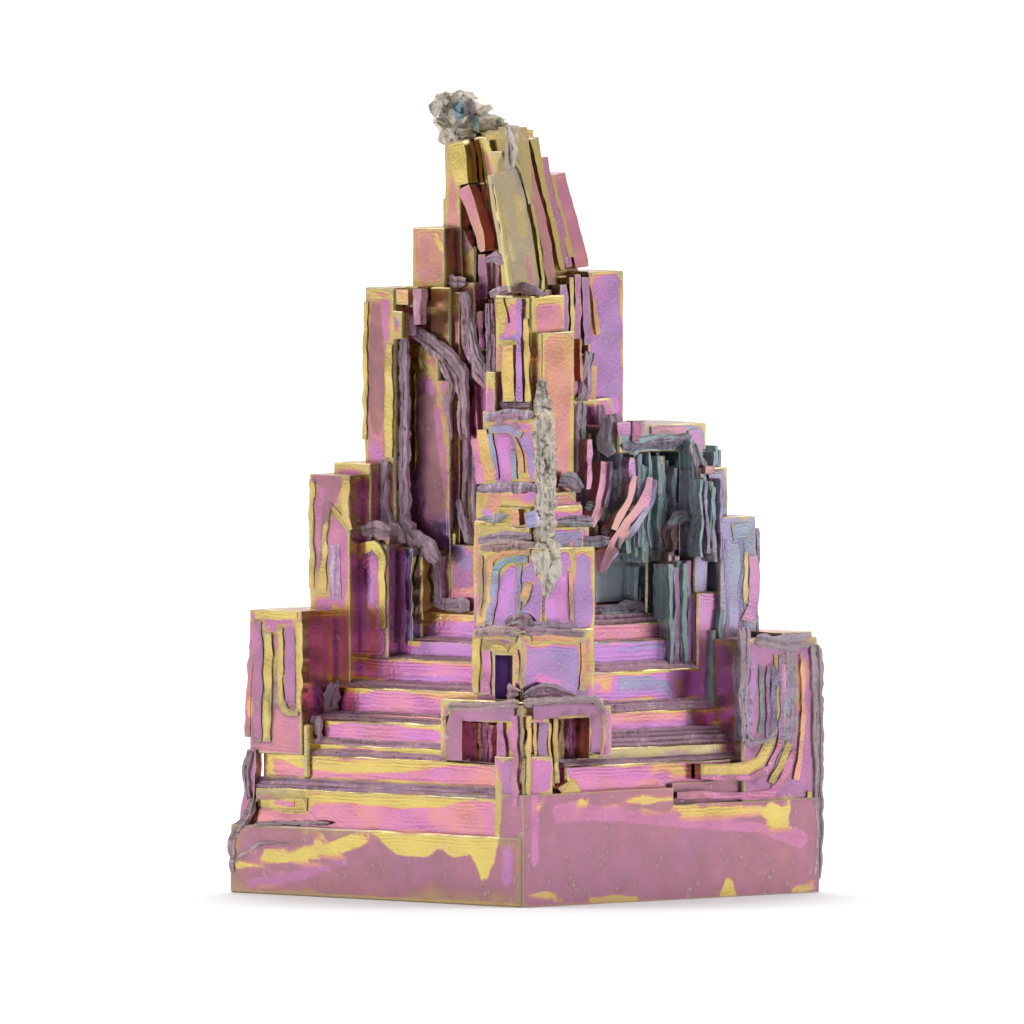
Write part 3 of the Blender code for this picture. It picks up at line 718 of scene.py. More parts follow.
for side, plane, points, oxide in (
    ("left", 10.3, ((480, 548, 7), (505, 546, 7), (535, 545, 7)), 3.4),
    ("left", 9.1, ((478, 541, 8), (505, 538, 9), (532, 538, 8)), 6.8),
    ("left", 8.8, ((477, 490, 7), (500, 488, 8), (535, 488, 10)), 7.0),
    ("left", 8.7, ((478, 522, 9), (495, 522, 10), (508, 514, 7)), 7.2),
    ("left", 8.6, ((484, 418, 8), (505, 416, 8), (535, 415, 8)), 6.4),
    ("left", 6.5, ((492, 402, 6), (515, 408, 7), (530, 406, 7)), 6.6),
    ("left", 10.3, ((505, 624, 8), (520, 618, 12), (533, 626, 8)), 6.8),
    ("right", 12.5, ((530, 626, 6), (555, 626, 6), (575, 628, 5)), 6.6),
    ("right", 9.8, ((556, 522, 7), (575, 520, 8), (594, 522, 8)), 8.4),
    ("right", 9.8, ((560, 543, 8), (585, 542, 8), (610, 541, 8)), 8.3),
    ("right", 8.9, ((560, 480, 14), (572, 483, 14), (582, 490, 9)), 8.0),
):
    rope(side, plane, points, oxide=oxide, dust=0.4, rough=0.25)

# The back arm steps up from the foot's far corner, between smaller blocks in the back valleys.
# They grew like the ones in front, from the same core, and their faces are plainer.
grow(
    (
        (-15.2, -8.7, -14.9, -8.5, 1.33, 18.7, 4.6),
        (-14.4, -9.3, -14.2, -9.0, 1.37, 19.7, 5.8),
        (-12.6, -6.9, -12.2, -7.1, 1.39, 24.8, 5.0),
        (-11.2, -6.2, -10.9, -6.4, 1.41, 30.9, 6.6),
        (-9.4, -5.0, -9.1, -5.2, 1.58, 37.6, 5.0),
        (-7.6, -3.6, -7.3, -3.8, 1.59, 42.1, 3.8),
        (-6.1, -2.6, -5.8, -2.4, 1.61, 46.3, 4.6),
        (-4.4, -0.6, -4.1, -0.9, 1.63, 50.4, 3.0),
        (-5.7, 3.2, -8.2, -6.9, 1.67, 29.6, 5.6),
        (-5.5, 2.4, -6.6, -5.4, 1.71, 34.8, 6.4),
        (-2.9, 3.6, -5.1, -2.0, 1.73, 40.4, 4.4),
        (-8.4, -7.0, -5.65, 4.6, 1.75, 30.3, 7.0),
        (-6.9, -5.8, -4.4, 3.9, 1.77, 35.7, 5.4),
        (-5.0, -2.1, -3.4, 2.9, 1.79, 41.2, 6.0),
        (-3.1, 2.6, -3.2, 2.2, 1.81, 47.3, 3.4),
        (-1.6, 2.0, -1.7, 1.6, 1.83, 51.3, 2.6),
    ),
    oxide=5.2,
    dust=0.3,
    fade=0.24,
)

# The spire: thin sheets of bismuth that lean over to the left in one even curve as they rise.
# Ribs of straw and pink film run up them and end in steps near the top.
spire = (
    (-2.6, 0.6, 0.4, 3.6, 2.51, 53.4, 1.9),
    (-1.3, 1.0, 0.1, 3.4, 2.53, 54.9, 2.2),
    (-0.56, 1.8, 0.3, 3.5, 2.55, 56.0, 2.3),
    (0.9, 4.4, 3.0, 4.4, 2.57, 55.8, 1.5),
    (1.0, 4.6, 2.4, 4.1, 2.59, 54.0, 1.1),
    (0.2, 3.3, 0.5, 3.9, 2.61, 56.8, 1.3),
    (1.1, 4.7, -3.3, -1.7, 2.63, 56.1, 0.2),
    (-0.6, 2.3, -2.9, 1.4, 2.65, 57.3, 0.5),
    (-2.8, 0.4, -3.2, -0.3, 2.67, 54.9, 0.8),
    (-3.9, -1.2, -2.2, 1.6, 2.69, 52.4, 1.4),
)
LEAN_FROM = 46.0
LEAN_POWER = 1.25
SPIRE_STOREY = 0.7
for number, row in enumerate(spire):
    z1, lean = row[5], row[6]
    bm = square_block(row[:6])
    storey = LEAN_FROM
    while storey < z1 - 0.3:
        bmesh.ops.bisect_plane(
            bm,
            geom=bm.verts[:] + bm.edges[:] + bm.faces[:],
            plane_co=(0, 0, storey),
            plane_no=(0, 0, 1),
        )
        storey += SPIRE_STOREY
    for vert in bm.verts:
        height = max(0.0, (vert.co.z - LEAN_FROM) / (z1 - LEAN_FROM))
        left = lean * height**LEAN_POWER / ROOT2
        vert.co.x += left
        vert.co.y -= left
    keep(bm, oxide=3.4 + 0.4 * (number % 4), band=1.0, top=z1, dust=0.3)
for points, oxide, dust in (
    (
        (
            (519, 128, 16, 4.0), (521, 155, 18, 4.2), (521, 183, 20, 4.4),
            (524, 208, 22, 4.6), (530, 240, 22, 4.8), (536, 290, 24, 5.0),
        ),
        1.7,
        0.5,
    ),
    (((523, 140, 8, 4.0), (528, 172, 9, 4.3), (537, 205, 10, 4.6), (545, 240, 10, 4.9), (551, 285, 9, 5.15)), 4.1, 0.6),
    (
        (
            (521, 170, 2.5, 4.5), (531, 205, 2.5, 4.9), (538, 240, 2.5, 5.2),
            (543, 280, 3, 5.4), (546, 330, 3, 5.5),
        ),
        1.8,
        0.0,
    ),
    (
        (
            (533, 140, 6, 3.9), (538, 160, 7, 4.1), (545, 190, 6, 4.4),
            (552, 220, 5, 4.6), (559, 255, 6, 4.9), (562, 270, 4, 5.0),
        ),
        2.0,
        0.3,
    ),
    (((543, 158, 8, 3.7), (550, 190, 7, 4.0), (558, 220, 7, 4.3), (565, 250, 8, 4.5), (568, 268, 6, 4.6)), 4.5, 0.55),
    (((552, 175, 3, 3.8), (559, 205, 4, 4.1), (566, 235, 5, 4.4), (571, 258, 6, 4.6)), 2.0, 0.2),
    (
        (
            (558, 174, 14, 3.5), (563, 195, 14, 3.7), (571, 222, 14, 4.0),
            (578, 248, 14, 4.3), (582, 268, 14, 4.5),
        ),
        4.3,
        0.35,
    ),
):
    rib("right", 5.0, points, oxide, rise=0.1, deep=1.3, dust=dust)
for points, oxide, dust in (
    (((514, 126, 9, 4.15), (513, 150, 11, 4.4), (515, 185, 13, 4.7)), 1.3, 0.55),
    (((503, 174, 26, 4.65), (509, 196, 30, 4.8), (517, 240, 31, 5.05), (526, 290, 30, 5.3)), 1.3, 0.55),
    (((496, 186, 3, 4.9), (502, 225, 3, 5.15), (507, 260, 3, 5.35), (511, 287, 4, 5.5)), 1.9, 0.0),
    (((512, 130, 2, 4.3), (514, 158, 2, 4.6), (522, 176, 2, 4.8), (529, 205, 2, 4.95)), 1.9, 0.0),
):
    rib("right", 5.0, points, oxide, rise=0.1, deep=0.3, dust=dust, haze=0.12)
for points, oxide, dust in (
    (((455, 143, 18, 5.0), (458, 160, 17, 5.0), (463, 185, 13, 5.0)), 2.0, 0.1),
    (((463, 188, 14, 4.9), (471, 205, 11, 4.8), (479, 235, 8, 4.7), (483, 252, 5, 4.6)), 4.2, 0.35),
    (((477, 138, 4, 3.9), (481, 170, 4, 3.9), (485, 212, 3, 3.9)), 3.3, 0.0),
    (((487, 142, 5, 5.1), (493, 160, 5, 5.0), (497, 180, 4, 4.9)), 2.0, 0.1),
    (((502, 132, 12, 4.8), (504, 150, 8, 4.8), (503, 163, 3, 4.8)), 2.0, 0.2),
    (((452, 222, 8, 4.5), (460, 232, 8, 4.5), (470, 250, 6, 4.5)), 4.8, 0.4),
    (((482, 255, 8, 4.4), (484, 290, 8, 4.4), (484, 300, 6, 4.4)), 5.4, 0.5),
):
    rib("left", 4.8, points, oxide, rise=0.1, deep=1.3, dust=dust)
lamellae("left", 3.4, 466, 492, 140, 245, 6, 51, (3.2, 2.8, 3.6), wide=(2.5, 4.5), proud=0.4, dust=0.5)
lamellae("left", 3.6, 488, 510, 258, 290, 5, 52, (4.4, 5.2), wide=(3, 5), proud=0.5, ledge=0.8)
lamellae("left", 5.5, 424, 440, 290, 345, 3, 53, (4.8, 5.6), wide=(3, 5), proud=0.5, ledge=0.8)
lamellae("left", 4.9, 456, 500, 300, 400, 8, 54, (4.8, 2.3, 5.6, 4.6), wide=(2.5, 5), proud=0.6, dust=0.3)
for points in (
    ((490, 296, 8), (505, 291, 9), (530, 290, 8), (545, 296, 6)),
    ((484, 262, 7), (492, 258, 8), (505, 262, 8)),
    ((440, 276, 8), (452, 282, 9), (466, 282, 8)),
):
    rope("left", 5.4, points, oxide=5.6, rough=0.4)
for plane, points, oxide, dust in (
    (5.6, ((555, 300, 9), (553, 325, 9), (552, 350, 9)), 2.3, 0.1),
    (5.7, ((553, 345, 10), (553, 370, 10), (556, 392, 6)), 4.9, 0.0),
    (5.5, ((548, 290, 6), (550, 330, 5)), 4.3, 0.4),
    (6.1, ((563, 285, 7), (565, 340, 7), (566, 390, 8)), 6.3, 0.5),
    (6.0, ((571, 278, 4), (572, 330, 4), (573, 350, 4)), 2.6, 0.1),
    (5.9, ((577, 275, 6), (578, 310, 6), (577, 345, 6)), 5.2, 0.5),
    (5.8, ((585, 278, 7), (586, 320, 7), (588, 345, 7)), 6.2, 0.6),
    (5.75, ((591, 275, 4), (595, 310, 4), (598, 335, 4)), 3.2, 0.2),
    (6.1, ((593, 366, 8), (592, 400, 8), (590, 430, 6)), 3.0, 0.2),
    (6.4, ((558, 405, 9), (560, 440, 9), (556, 480, 7)), 4.6, 0.1),
    (6.5, ((566, 400, 6), (565, 430, 6), (562, 465, 5)), 5.2, 0.1),
):
    rib("right", plane, points, oxide, rise=0.1, deep=0.9, dust=dust)
for plane, points in (
    (6.3, ((566, 385, 8), (562, 400, 12), (562, 412, 8))),
    (6.3, ((590, 352, 12), (586, 372, 10), (585, 392, 12), (580, 402, 8))),
    (6.9, ((580, 402, 8), (580, 440, 9), (578, 478, 8))),
    (7.0, ((600, 405, 8), (602, 430, 8), (606, 448, 12), (590, 460, 9), (586, 490, 8))),
    (7.4, ((612, 415, 14), (614, 432, 13), (620, 446, 12))),
    (6.6, ((573, 410, 6), (572, 440, 6), (575, 470, 9))),
):
    rope("right", plane, points, oxide=7.3, rough=0.3)
rib("right", 9.95, ((632, 432, 22), (640, 432, 20)), 4.8, rise=0.1, dust=0.3)

# The crust: the tip and the crest down the front arm are rough, bare silvery metal that the
# melt drained from last. It is a heap of angular lumps, with a rope of dross under the crest's.
def lump(dice, spot, reach, points):
    """An angular lump: the hull of random points on a ball with these radii."""
    bm = bmesh.new()
    for _ in range(points):
        out = Vector((dice.gauss(0, 1), dice.gauss(0, 1), dice.gauss(0, 1))).normalized()
        bmesh.ops.create_vert(bm, co=spot + Vector((out.x * reach[0], out.y * reach[1], out.z * reach[2])))
    bmesh.ops.convex_hull(bm, input=bm.verts)
    bmesh.ops.recalc_face_normals(bm, faces=bm.faces)
    keep(bm, oxide=1.0, bare=1.0)


LUMPS = 9
CREST_STEP = 4.0
dice = random.Random(61)
for x, y, wide, high, deep in (
    (445, 106, 13, 14, 1.3),
    (450, 122, 15, 16, 1.3),
    (450, 136, 11, 9, 1.1),
    (459, 131, 10, 9, 1.3),
    (462, 138, 9, 7, 1.3),
    (465, 129, 11, 10, 1.5),
    (472, 124, 11, 10, 1.5),
    (460, 104, 14, 13, 1.5),
    (464, 119, 15, 14, 1.5),
    (475, 112, 13, 14, 1.5),
    (478, 124, 13, 11, 1.4),
    (489, 123, 12, 11, 1.3),
    (500, 129, 11, 9, 1.1),
):
    for piece in range(LUMPS):
        size = 1.0 if piece == 0 else dice.uniform(0.25, 0.6)
        away = 0.0 if piece == 0 else 0.6
        across, down = dice.uniform(-away, away) * wide, dice.uniform(-away, away) * high
        spot = spot_on("left", 3.2 - 0.03 * (x - 445), x + across, y + down)
        spot += Vector((1.0, 1.0, 0.0)) * (0.0 if piece == 0 else dice.uniform(-0.2, 0.5) * deep)
        reach = max(wide * RULE * 1.3, deep) * size
        lump(dice, spot, (reach, reach, high * RULE * 1.15 * size), points=15 if piece == 0 else 8)
for side, plane, points in (
    ("right", 10.4, ((541, 380, 7, 8.2), (543, 400, 13, 8.3), (544, 411, 13, 8.8), (545, 417, 13, 10.3))),
    ("right", 10.4, ((545, 414, 13), (546, 430, 14), (547, 470, 12), (546, 510, 14), (547, 548, 13))),
    ("right", 12.5, ((548, 541, 16, 10.6), (550, 550, 20, 12.2), (550, 558, 21), (548, 578, 17), (545, 597, 4))),
    ("left", 8.55, ((537, 400, 6, 6.2), (537, 411, 7, 6.4), (537, 419, 8), (539, 500, 7), (538, 544, 8, 8.7))),
    ("left", 10.15, ((538, 543, 8, 8.8), (537, 553, 7, 10.1), (536, 575, 5))),
    ("right", 10.45, ((551, 440, 7), (552, 480, 6), (550, 520, 8))),
):
    rope(side, plane, points, oxide=1.0, bare=1.0, ledge=0.0, dust=0.0, rough=0.45)
    line = Line(points, plane)
    for step in range(int(line.length / CREST_STEP)):
        x, y, width, depth = line.at((step + 0.5) * CREST_STEP / line.length)
        size = width * RULE * dice.uniform(0.28, 0.5)
        spot = spot_on(side, depth, x + dice.uniform(-0.3, 0.3) * width, y)
        lump(dice, spot, (size, size, size * dice.uniform(1.0, 1.9)), points=9)
rope("left", 5.6, ((507, 128, 7), (512, 150, 7), (509, 172, 8)), oxide=1.4, bare=0.7, ledge=0.0)

# The parts are united into one mesh, though a few small strips stay clear of the rest by up to half
# a millimetre. Windows are cut where the front arm's rims grew on round a face that had stopped,
# and the low ones are then lined with plates.
hollows = bpy.data.collections.new("hollows")
for row in (
    (12.6, 16.0, 8.76, 12.1, 10.65, 13.7, 4.4),
    (8.02, 11.1, 12.7, 16.0, 10.85, 13.9, 4.4),
    (11.2, 14.0, 9.89, 11.75, 15.3, 18.6, 7.0),
):
    keep(square_block(row[:6], 0), hollows, oxide=row[6], dust=0.15, fade=0.02)
foot = keep(square_block(FOOT, 0.12), bpy.context.scene.collection, oxide=4.8, dust=0.9, top=5.2)
for collection, operation in ((grown, "UNION"), (hollows, "DIFFERENCE"), (linings, "UNION")):
    join = foot.modifiers.new(collection.name, "BOOLEAN")
    join.operation = operation
    join.solver = "MANIFOLD"
    join.operand_type = "COLLECTION"
    join.collection = collection
bpy.context.view_layer.update()
whole = bpy.data.meshes.new_from_object(foot.evaluated_get(bpy.context.evaluated_depsgraph_get()))
for helper in list(grown.objects) + list(hollows.objects) + list(linings.objects) + [foot]:
    bpy.data.objects.remove(helper, do_unlink=True)
for collection in (grown, hollows, linings):
    bpy.data.collections.remove(collection)

# The oxide is thinnest on the rims, so every point keeps its distance from the nearest outer
# edge and the nearest inner corner, for the film to follow.
crystal_bm = bmesh.new()
crystal_bm.from_mesh(whole)
SLIVER = 0.055
TURNS = math.radians(35)
narrow = {f for f in crystal_bm.faces if f.calc_area() < SLIVER * max(e.calc_length() for e in f.edges)}
rims, corners = [], []
for edge in crystal_bm.edges:
    if len(edge.link_faces) != 2 or narrow.intersection(edge.link_faces):
        continue
    bend = edge.calc_face_angle_signed(0.0)
    if abs(bend) > TURNS:
        (rims if bend > 0 else corners).append((edge.verts[0].co.copy(), edge.verts[1].co.copy()))


class EdgeField:
    """Gives a point's distance from the nearest of these edges, found by spots a little apart."""

    def __init__(self, segments, spacing=0.2):
        self.segments = segments
        spots = []
        for number, (start, end) in enumerate(segments):
            count = max(1, int((end - start).length / spacing) + 1)
            for k in range(count + 1):
                spots.append((start.lerp(end, k / count), number))
        self.tree = kdtree.KDTree(len(spots))
        for place, number in spots:
            self.tree.insert(place, number)
        self.tree.balance()

    def distance(self, place):
        found = self.tree.find(place)
        start, end = self.segments[found[1]]
        line = end - start
        size = line.length_squared
        along = 0.0 if size == 0 else max(0.0, min(1.0, (place - start).dot(line) / size))
        return (start + line * along - place).length


# The faces are cut up for the film to follow, every second cut only where they look forward, and
# the smallest faces not at all.
SLICE = 0.6
SMALL_FACE = 3.0
FORWARD = 0.6
for axis, low, high in ((0, -16.1, 15.4), (1, -15.5, 15.4), (2, 0.0, 60.0)):
    normal = Vector((0.0, 0.0, 0.0))
    normal[axis] = 1.0
    for k in range(int((high - low) / SLICE)):
        faces = [f for f in crystal_bm.faces if f.calc_perimeter() > SMALL_FACE]
        if k % 2:
            faces = [f for f in faces if f.normal.x > FORWARD or f.normal.y > FORWARD]
        bmesh.ops.bisect_plane(
            crystal_bm,
            geom=list({v for f in faces for v in f.verts}) + list({e for f in faces for e in f.edges}) + faces,
            dist=1e-4,
            plane_co=normal * (low + SLICE * (k + 0.5)),
            plane_no=normal,
        )

rim_field, corner_field = EdgeField(rims), EdgeField(corners)
rim_values = [rim_field.distance(v.co) for v in crystal_bm.verts]
corner_values = [corner_field.distance(v.co) for v in crystal_bm.verts]

# Stains: pools and runs where the film stayed thinner or grew thicker than on the rest of a face.
# Each is (side, face plane, film, dust, (x, y, width) points on the sheet), and every point of the
# crystal keeps how far it is inside the stain that covers it most. FAR is well outside all of them.
stains = (
    ("left", 15.45, 2.0, 0.0, ((238, 866, 7), (290, 858, 11), (330, 850, 16), (358, 840, 15), (377, 833, 9),
     (398, 844, 21), (425, 845, 23), (440, 838, 14), (455, 846, 22), (475, 842, 20), (495, 834, 12))),
    ("left", 15.45, 2.0, 0.0, ((484, 836, 30), (484, 856, 27), (484, 872, 14), (484, 882, 2))),
    ("left", 15.45, 2.0, 0.0, ((492, 840, 15), (497, 815, 10), (499, 792, 5))),
    ("left", 15.45, 2.2, 0.1, ((245, 853, 3), (270, 851, 4), (312, 848, 5),
     (323, 840, 6), (318, 833, 6), (285, 832, 5))),
    ("left", 15.45, 2.3, 0.3, ((250, 894, 4), (340, 897, 4), (430, 900, 4), (520, 904, 4))),
    ("left", 15.45, 5.2, 0.45, ((250, 885, 10), (300, 876, 12), (345, 862, 8))),
    ("left", 15.45, 5.6, 0.35, ((508, 850, 12), (506, 880, 12))),
    ("left", 15.0, 2.1, 0.0, ((282, 797, 9), (320, 799, 10), (350, 798, 10), (400, 801, 15),
     (440, 800, 13), (478, 795, 6))),
    ("left", 15.0, 2.2, 0.0, ((258, 808, 5), (285, 812, 6), (305, 811, 6), (312, 802, 6))),
    ("left", 14.47, 2.2, 0.0, ((268, 752, 9), (300, 761, 14), (345, 767, 13), (400, 766, 13), (446, 763, 7))),
    ("left", 14.47, 2.3, 0.0, ((268, 748, 8), (270, 768, 12), (274, 784, 8))),
    ("left", 13.57, 2.6, 0.0, ((425, 724, 4), (500, 724, 4))),
    ("left", 11.92, 2.8, 0.0, ((402, 693, 6), (440, 697, 12), (470, 697, 14), (475, 690, 8))),
    ("left", 11.92, 2.4, 0.0, ((355, 691, 3), (400, 692, 3))),
    ("left", 10.28, 2.7, 0.0, ((388, 661, 7), (430, 663, 7), (472, 663, 8))),
    ("left", 10.28, 5.8, 0.0, ((400, 680, 6), (470, 676, 8))),
    ("left", 8.92, 5.9, 0.1, ((425, 648, 18), (470, 648, 18))),
    ("left", 7.57, 2.8, 0.0, ((425, 616, 9), (470, 616, 9))),
    ("left", 7.57, 3.6, 0.0, ((428, 623, 6), (445, 624, 6), (458, 622, 7))),
    ("left", 7.57, 5.8, 0.0, ((425, 635, 7), (470, 635, 8))),
    ("left", 14.85, 3.2, 0.0, ((250, 700, 6), (250, 716, 6))),
    ("left", 11.25, 4.6, 0.8, ((318, 478, 14), (334, 482, 22), (330, 500, 15), (325, 520, 8))),
    ("left", 10.2, 5.9, 0.0, ((367, 566, 14), (367, 604, 15))),
    ("left", 10.2, 3.2, 0.0, ((374, 612, 7), (374, 672, 8))),
    ("left", 10.2, 5.0, 0.0, ((357, 612, 9), (357, 672, 9))),
    ("right", -8.48, 2.4, 0.0, ((304, 607, 8), (330, 612, 9), (344, 618, 8))),
    ("right", -8.48, 3.2, 0.0, ((306, 622, 6), (306, 735, 7))),
    ("right", -8.48, 5.0, 0.0, ((317, 626, 9), (317, 735, 11))),
    ("right", -8.48, 3.1, 0.0, ((330, 622, 7), (330, 720, 8))),
    ("left", 8.4, 4.2, 0.9, ((376, 310, 14), (377, 360, 18), (377, 410, 18), (378, 430, 14))),
    ("left", 8.4, 5.4, 0.2, ((372, 448, 12), (382, 462, 10))),
    ("left", 8.4, 2.1, 0.1, ((372, 297, 8), (388, 294, 8), (400, 300, 8))),
    ("left", 6.9, 2.4, 0.45, ((426, 352, 8), (438, 392, 7), (445, 430, 6), (448, 470, 6),
     (449, 505, 7), (460, 530, 8), (472, 548, 10))),
    ("left", 6.9, 4.6, 0.9, ((425, 400, 16), (428, 440, 22), (432, 480, 24), (438, 515, 20))),
    ("left", 6.9, 4.5, 0.0, ((443, 556, 8), (444, 590, 10), (460, 602, 12), (476, 592, 8), (480, 560, 8))),
    ("left", 6.9, 6.9, 0.25, ((440, 520, 18), (456, 545, 20), (465, 562, 18))),
    ("left", 6.9, 3.4, 0.0, ((450, 590, 3), (474, 589, 3))),
    ("left", 6.9, 6.4, 0.0, ((432, 465, 3), (440, 500, 4), (445, 520, 3))),
    ("left", 5.85, 3.9, 0.5, ((424, 243, 14), (425, 262, 9))),
    ("left", 5.85, 2.2, 0.0, ((436, 236, 6), (442, 250, 6))),
    ("left", 4.5, 3.7, 0.1, ((462, 262, 10), (466, 268, 7))),
    ("left", 4.5, 3.8, 0.1, ((452, 250, 6), (455, 270, 4))),
    ("left", 6.38, 4.6, 0.0, ((515, 305, 10), (512, 325, 14), (506, 335, 8))),
    ("left", 8.45, 5.5, 0.0, ((503, 448, 16), (504, 478, 18))),
    ("left", 8.45, 6.9, 0.0, ((525, 440, 6), (532, 460, 8), (530, 482, 6))),
    ("left", 8.4, 3.5, 0.2, ((495, 497, 16), (495, 504, 18))),
    ("left", 10.12, 5.8, 0.0, ((513, 572, 9), (506, 590, 14), (500, 610, 18))),
    ("left", 10.12, 7.5, 0.0, ((508, 622, 6), (520, 612, 10), (532, 620, 8))),
    ("left", 12.75, 4.8, 0.0, ((490, 670, 10), (490, 690, 10))),
    ("right", 15.5, 2.1, 0.0, ((545, 797, 9), (541, 803, 6))),
    ("right", 15.5, 2.1, 0.0, ((576, 800, 8), (581, 804, 13), (582, 808, 8))),
    ("right", 15.5, 2.2, 0.0, ((590, 797, 7), (620, 796, 10), (640, 798, 12), (672, 796, 10))),
    ("right", 15.5, 2.4, 0.0, ((677, 808, 12), (700, 812, 14), (730, 810, 13), (765, 810, 10))),
    ("right", 15.5, 2.0, 0.0, ((772, 812, 20), (778, 822, 26), (780, 832, 12), (788, 805, 10))),
    ("right", 15.5, 2.0, 0.0, ((728, 893, 20), (729, 882, 10))),
    ("right", 15.5, 2.2, 0.2, ((530, 896, 8), (547, 894, 10), (562, 898, 6))),
    ("right", 15.5, 2.2, 0.2, ((590, 899, 7), (600, 899, 4), (612, 898, 9), (636, 898, 6))),
    ("right", 15.5, 2.4, 0.2, ((795, 892, 10), (815, 885, 9))),
    ("right", 15.5, 4.9, 0.25, ((535, 720, 10), (535, 860, 9))),
    ("right", 15.5, 4.8, 0.3, ((560, 812, 20), (600, 812, 16), (680, 822, 12), (760, 828, 10), (800, 840, 20))),
    ("right", 14.62, 5.0, 0.0, ((570, 770, 12), (640, 774, 10), (680, 778, 6))),
    ("right", 14.62, 2.9, 0.0, ((655, 766, 10), (676, 770, 13), (688, 772, 8))),
    ("right", 12.67, 4.1, 0.0, ((605, 716, 8), (640, 717, 9), (700, 715, 7))),
    ("right", 12.67, 5.6, 0.0, ((608, 727, 6), (660, 727, 7), (695, 724, 8))),
    ("right", 12.0, 3.2, 0.0, ((592, 675, 8), (606, 684, 14), (610, 676, 8))),
    ("right", 12.0, 7.4, 0.1, ((622, 682, 12), (650, 684, 16), (668, 688, 10))),
    ("right", 12.0, 5.8, 0.0, ((590, 697, 6), (640, 697, 6), (672, 697, 6))),
    ("right", 12.0, 3.8, 0.0, ((678, 680, 10), (682, 696, 8))),
    ("right", 11.25, 7.4, 0.0, ((585, 643, 4), (662, 643, 4))),
    ("right", 11.25, 6.0, 0.0, ((588, 655, 14), (660, 655, 14))),
    ("right", 10.5, 4.4, 0.0, ((590, 630, 14), (640, 630, 14))),
    ("right", 12.72, 6.9, 0.1, ((552, 655, 12), (572, 655, 14), (573, 675, 12), (576, 688, 8))),
    ("right", 12.72, 5.0, 0.0, ((538, 680, 14), (555, 685, 12))),
    ("right", 12.35, 5.9, 0.0, ((545, 600, 14), (552, 615, 14))),
    ("right", 12.35, 5.0, 0.0, ((562, 575, 6), (565, 600, 6))),
    ("right", 7.5, 8.0, 0.1, ((612, 565, 18), (612, 590, 26))),
    ("right", 7.5, 6.8, 0.1, ((585, 555, 10), (582, 590, 14), (590, 605, 12))),
    ("right", 7.5, 5.0, 0.0, ((572, 575, 8), (578, 592, 7))),
    ("right", 4.9, 2.1, 0.1, ((519, 200, 7), (521, 222, 9), (522, 236, 6))),
    ("right", 5.2, 4.3, 0.3, ((527, 258, 7), (531, 288, 9))),
    ("right", 5.0, 2.0, 0.2, ((498, 190, 5), (505, 225, 4), (511, 262, 5))),
    ("right", 5.62, 6.4, 0.3, ((606, 310, 14), (609, 345, 17), (612, 380, 17), (612, 398, 14))),
    ("right", 5.62, 5.6, 0.2, ((598, 290, 18), (603, 300, 16))),
    ("right", 5.62, 2.3, 0.2, ((592, 277, 5), (606, 278, 7))),
    ("right", 5.62, 5.2, 0.0, ((618, 390, 6), (616, 410, 8), (604, 410, 8))),
)
FAR = -3.0
SPIRE_PLANES = 5.3
verts = np.array([v.co[:] for v in crystal_bm.verts])
best = np.full(len(verts), FAR)
stain_film = np.full(len(verts), 5.0)
stain_dust = np.zeros(len(verts))
for side, plane, film, dust_and_shade, points in stains:
    axis, other = (0, 1) if side == "left" else (1, 0)
    near = np.abs(verts[:, axis] - plane) < (0.22 if plane > SPIRE_PLANES else 0.45)
    spots = np.array([[*spot_on(side, plane, x, y), width * RULE / 2] for x, y, width in points])
    flat = verts[near][:, [other, 2]]
    reach = np.full(len(flat), FAR)
    for start, end in zip(spots[:-1], spots[1:]):
        p0, p1 = start[[other, 2]], end[[other, 2]]
        line = p1 - p0
        along = np.clip(((flat - p0) @ line) / max(line @ line, 1e-9), 0.0, 1.0)
        gap = np.hypot(*((flat - p0 - along[:, None] * line) * (1 / ROOT2 ** 0.5, 1.0)).T)
        reach = np.maximum(reach, start[3] + (end[3] - start[3]) * along - gap)
    index = np.flatnonzero(near)
    wins = reach > best[index]
    chosen = index[wins]
    best[chosen] = reach[wins]
    stain_film[chosen] = film
    stain_dust[chosen] = dust_and_shade

# Into place: no face is quite flat, so all but the underside wavers by less than a tenth of a
# millimetre. noise_vector starts from the clock, so the waver isn't the same in every run. Then
# the growth axes turn onto the frame's axes, and millimetres become metres.
UNDERSIDE = 0.6
TURN = Matrix.Rotation(math.radians(225.0), 4, "Z")
SHIFT = Vector((-0.1944, -0.2652, 0.0))
for vert in crystal_bm.verts:
    waver = noise.noise_vector(vert.co * 0.5) * 0.06 + noise.noise_vector(vert.co * 1.9) * 0.014
    if vert.co.z > UNDERSIDE:
        vert.co += waver
crystal_bm.transform(Matrix.Scale(0.001, 4) @ Matrix.Translation(SHIFT) @ TURN)
whole.clear_geometry()
crystal_bm.to_mesh(whole)
crystal_bm.free()
crystal = bpy.data.objects.new("grown_crystal", whole)
bpy.context.scene.collection.objects.link(crystal)
whole.shade_smooth()
whole.set_sharp_from_angle(angle=math.radians(30))


def spread(name, domain, values):
    layer = whole.attributes.new(name, "FLOAT", domain)
    layer.data.foreach_set("value", np.asarray(values, np.float32))


tags = np.zeros(len(whole.polygons), np.int32)
whole.attributes["block"].data.foreach_get("value", tags)
for name in FRESH:
    spread(name, "FACE", np.asarray([film[name] for film in films], np.float32)[tags])
spread("rim", "POINT", rim_values)
spread("corner", "POINT", corner_values)
spread("stain", "POINT", best)
spread("stain_film", "POINT", stain_film)
spread("stain_dust", "POINT", stain_dust)

# The finish is bright bismuth under a clear oxide film. The film's thickness sets its colour:
# silver, straw, yellow, orange, pink, purple, blue, then teal.
finish = bpy.data.materials.new("oxidised_bismuth")
finish.use_nodes = True
tree = finish.node_tree
shader = tree.nodes["Principled BSDF"]


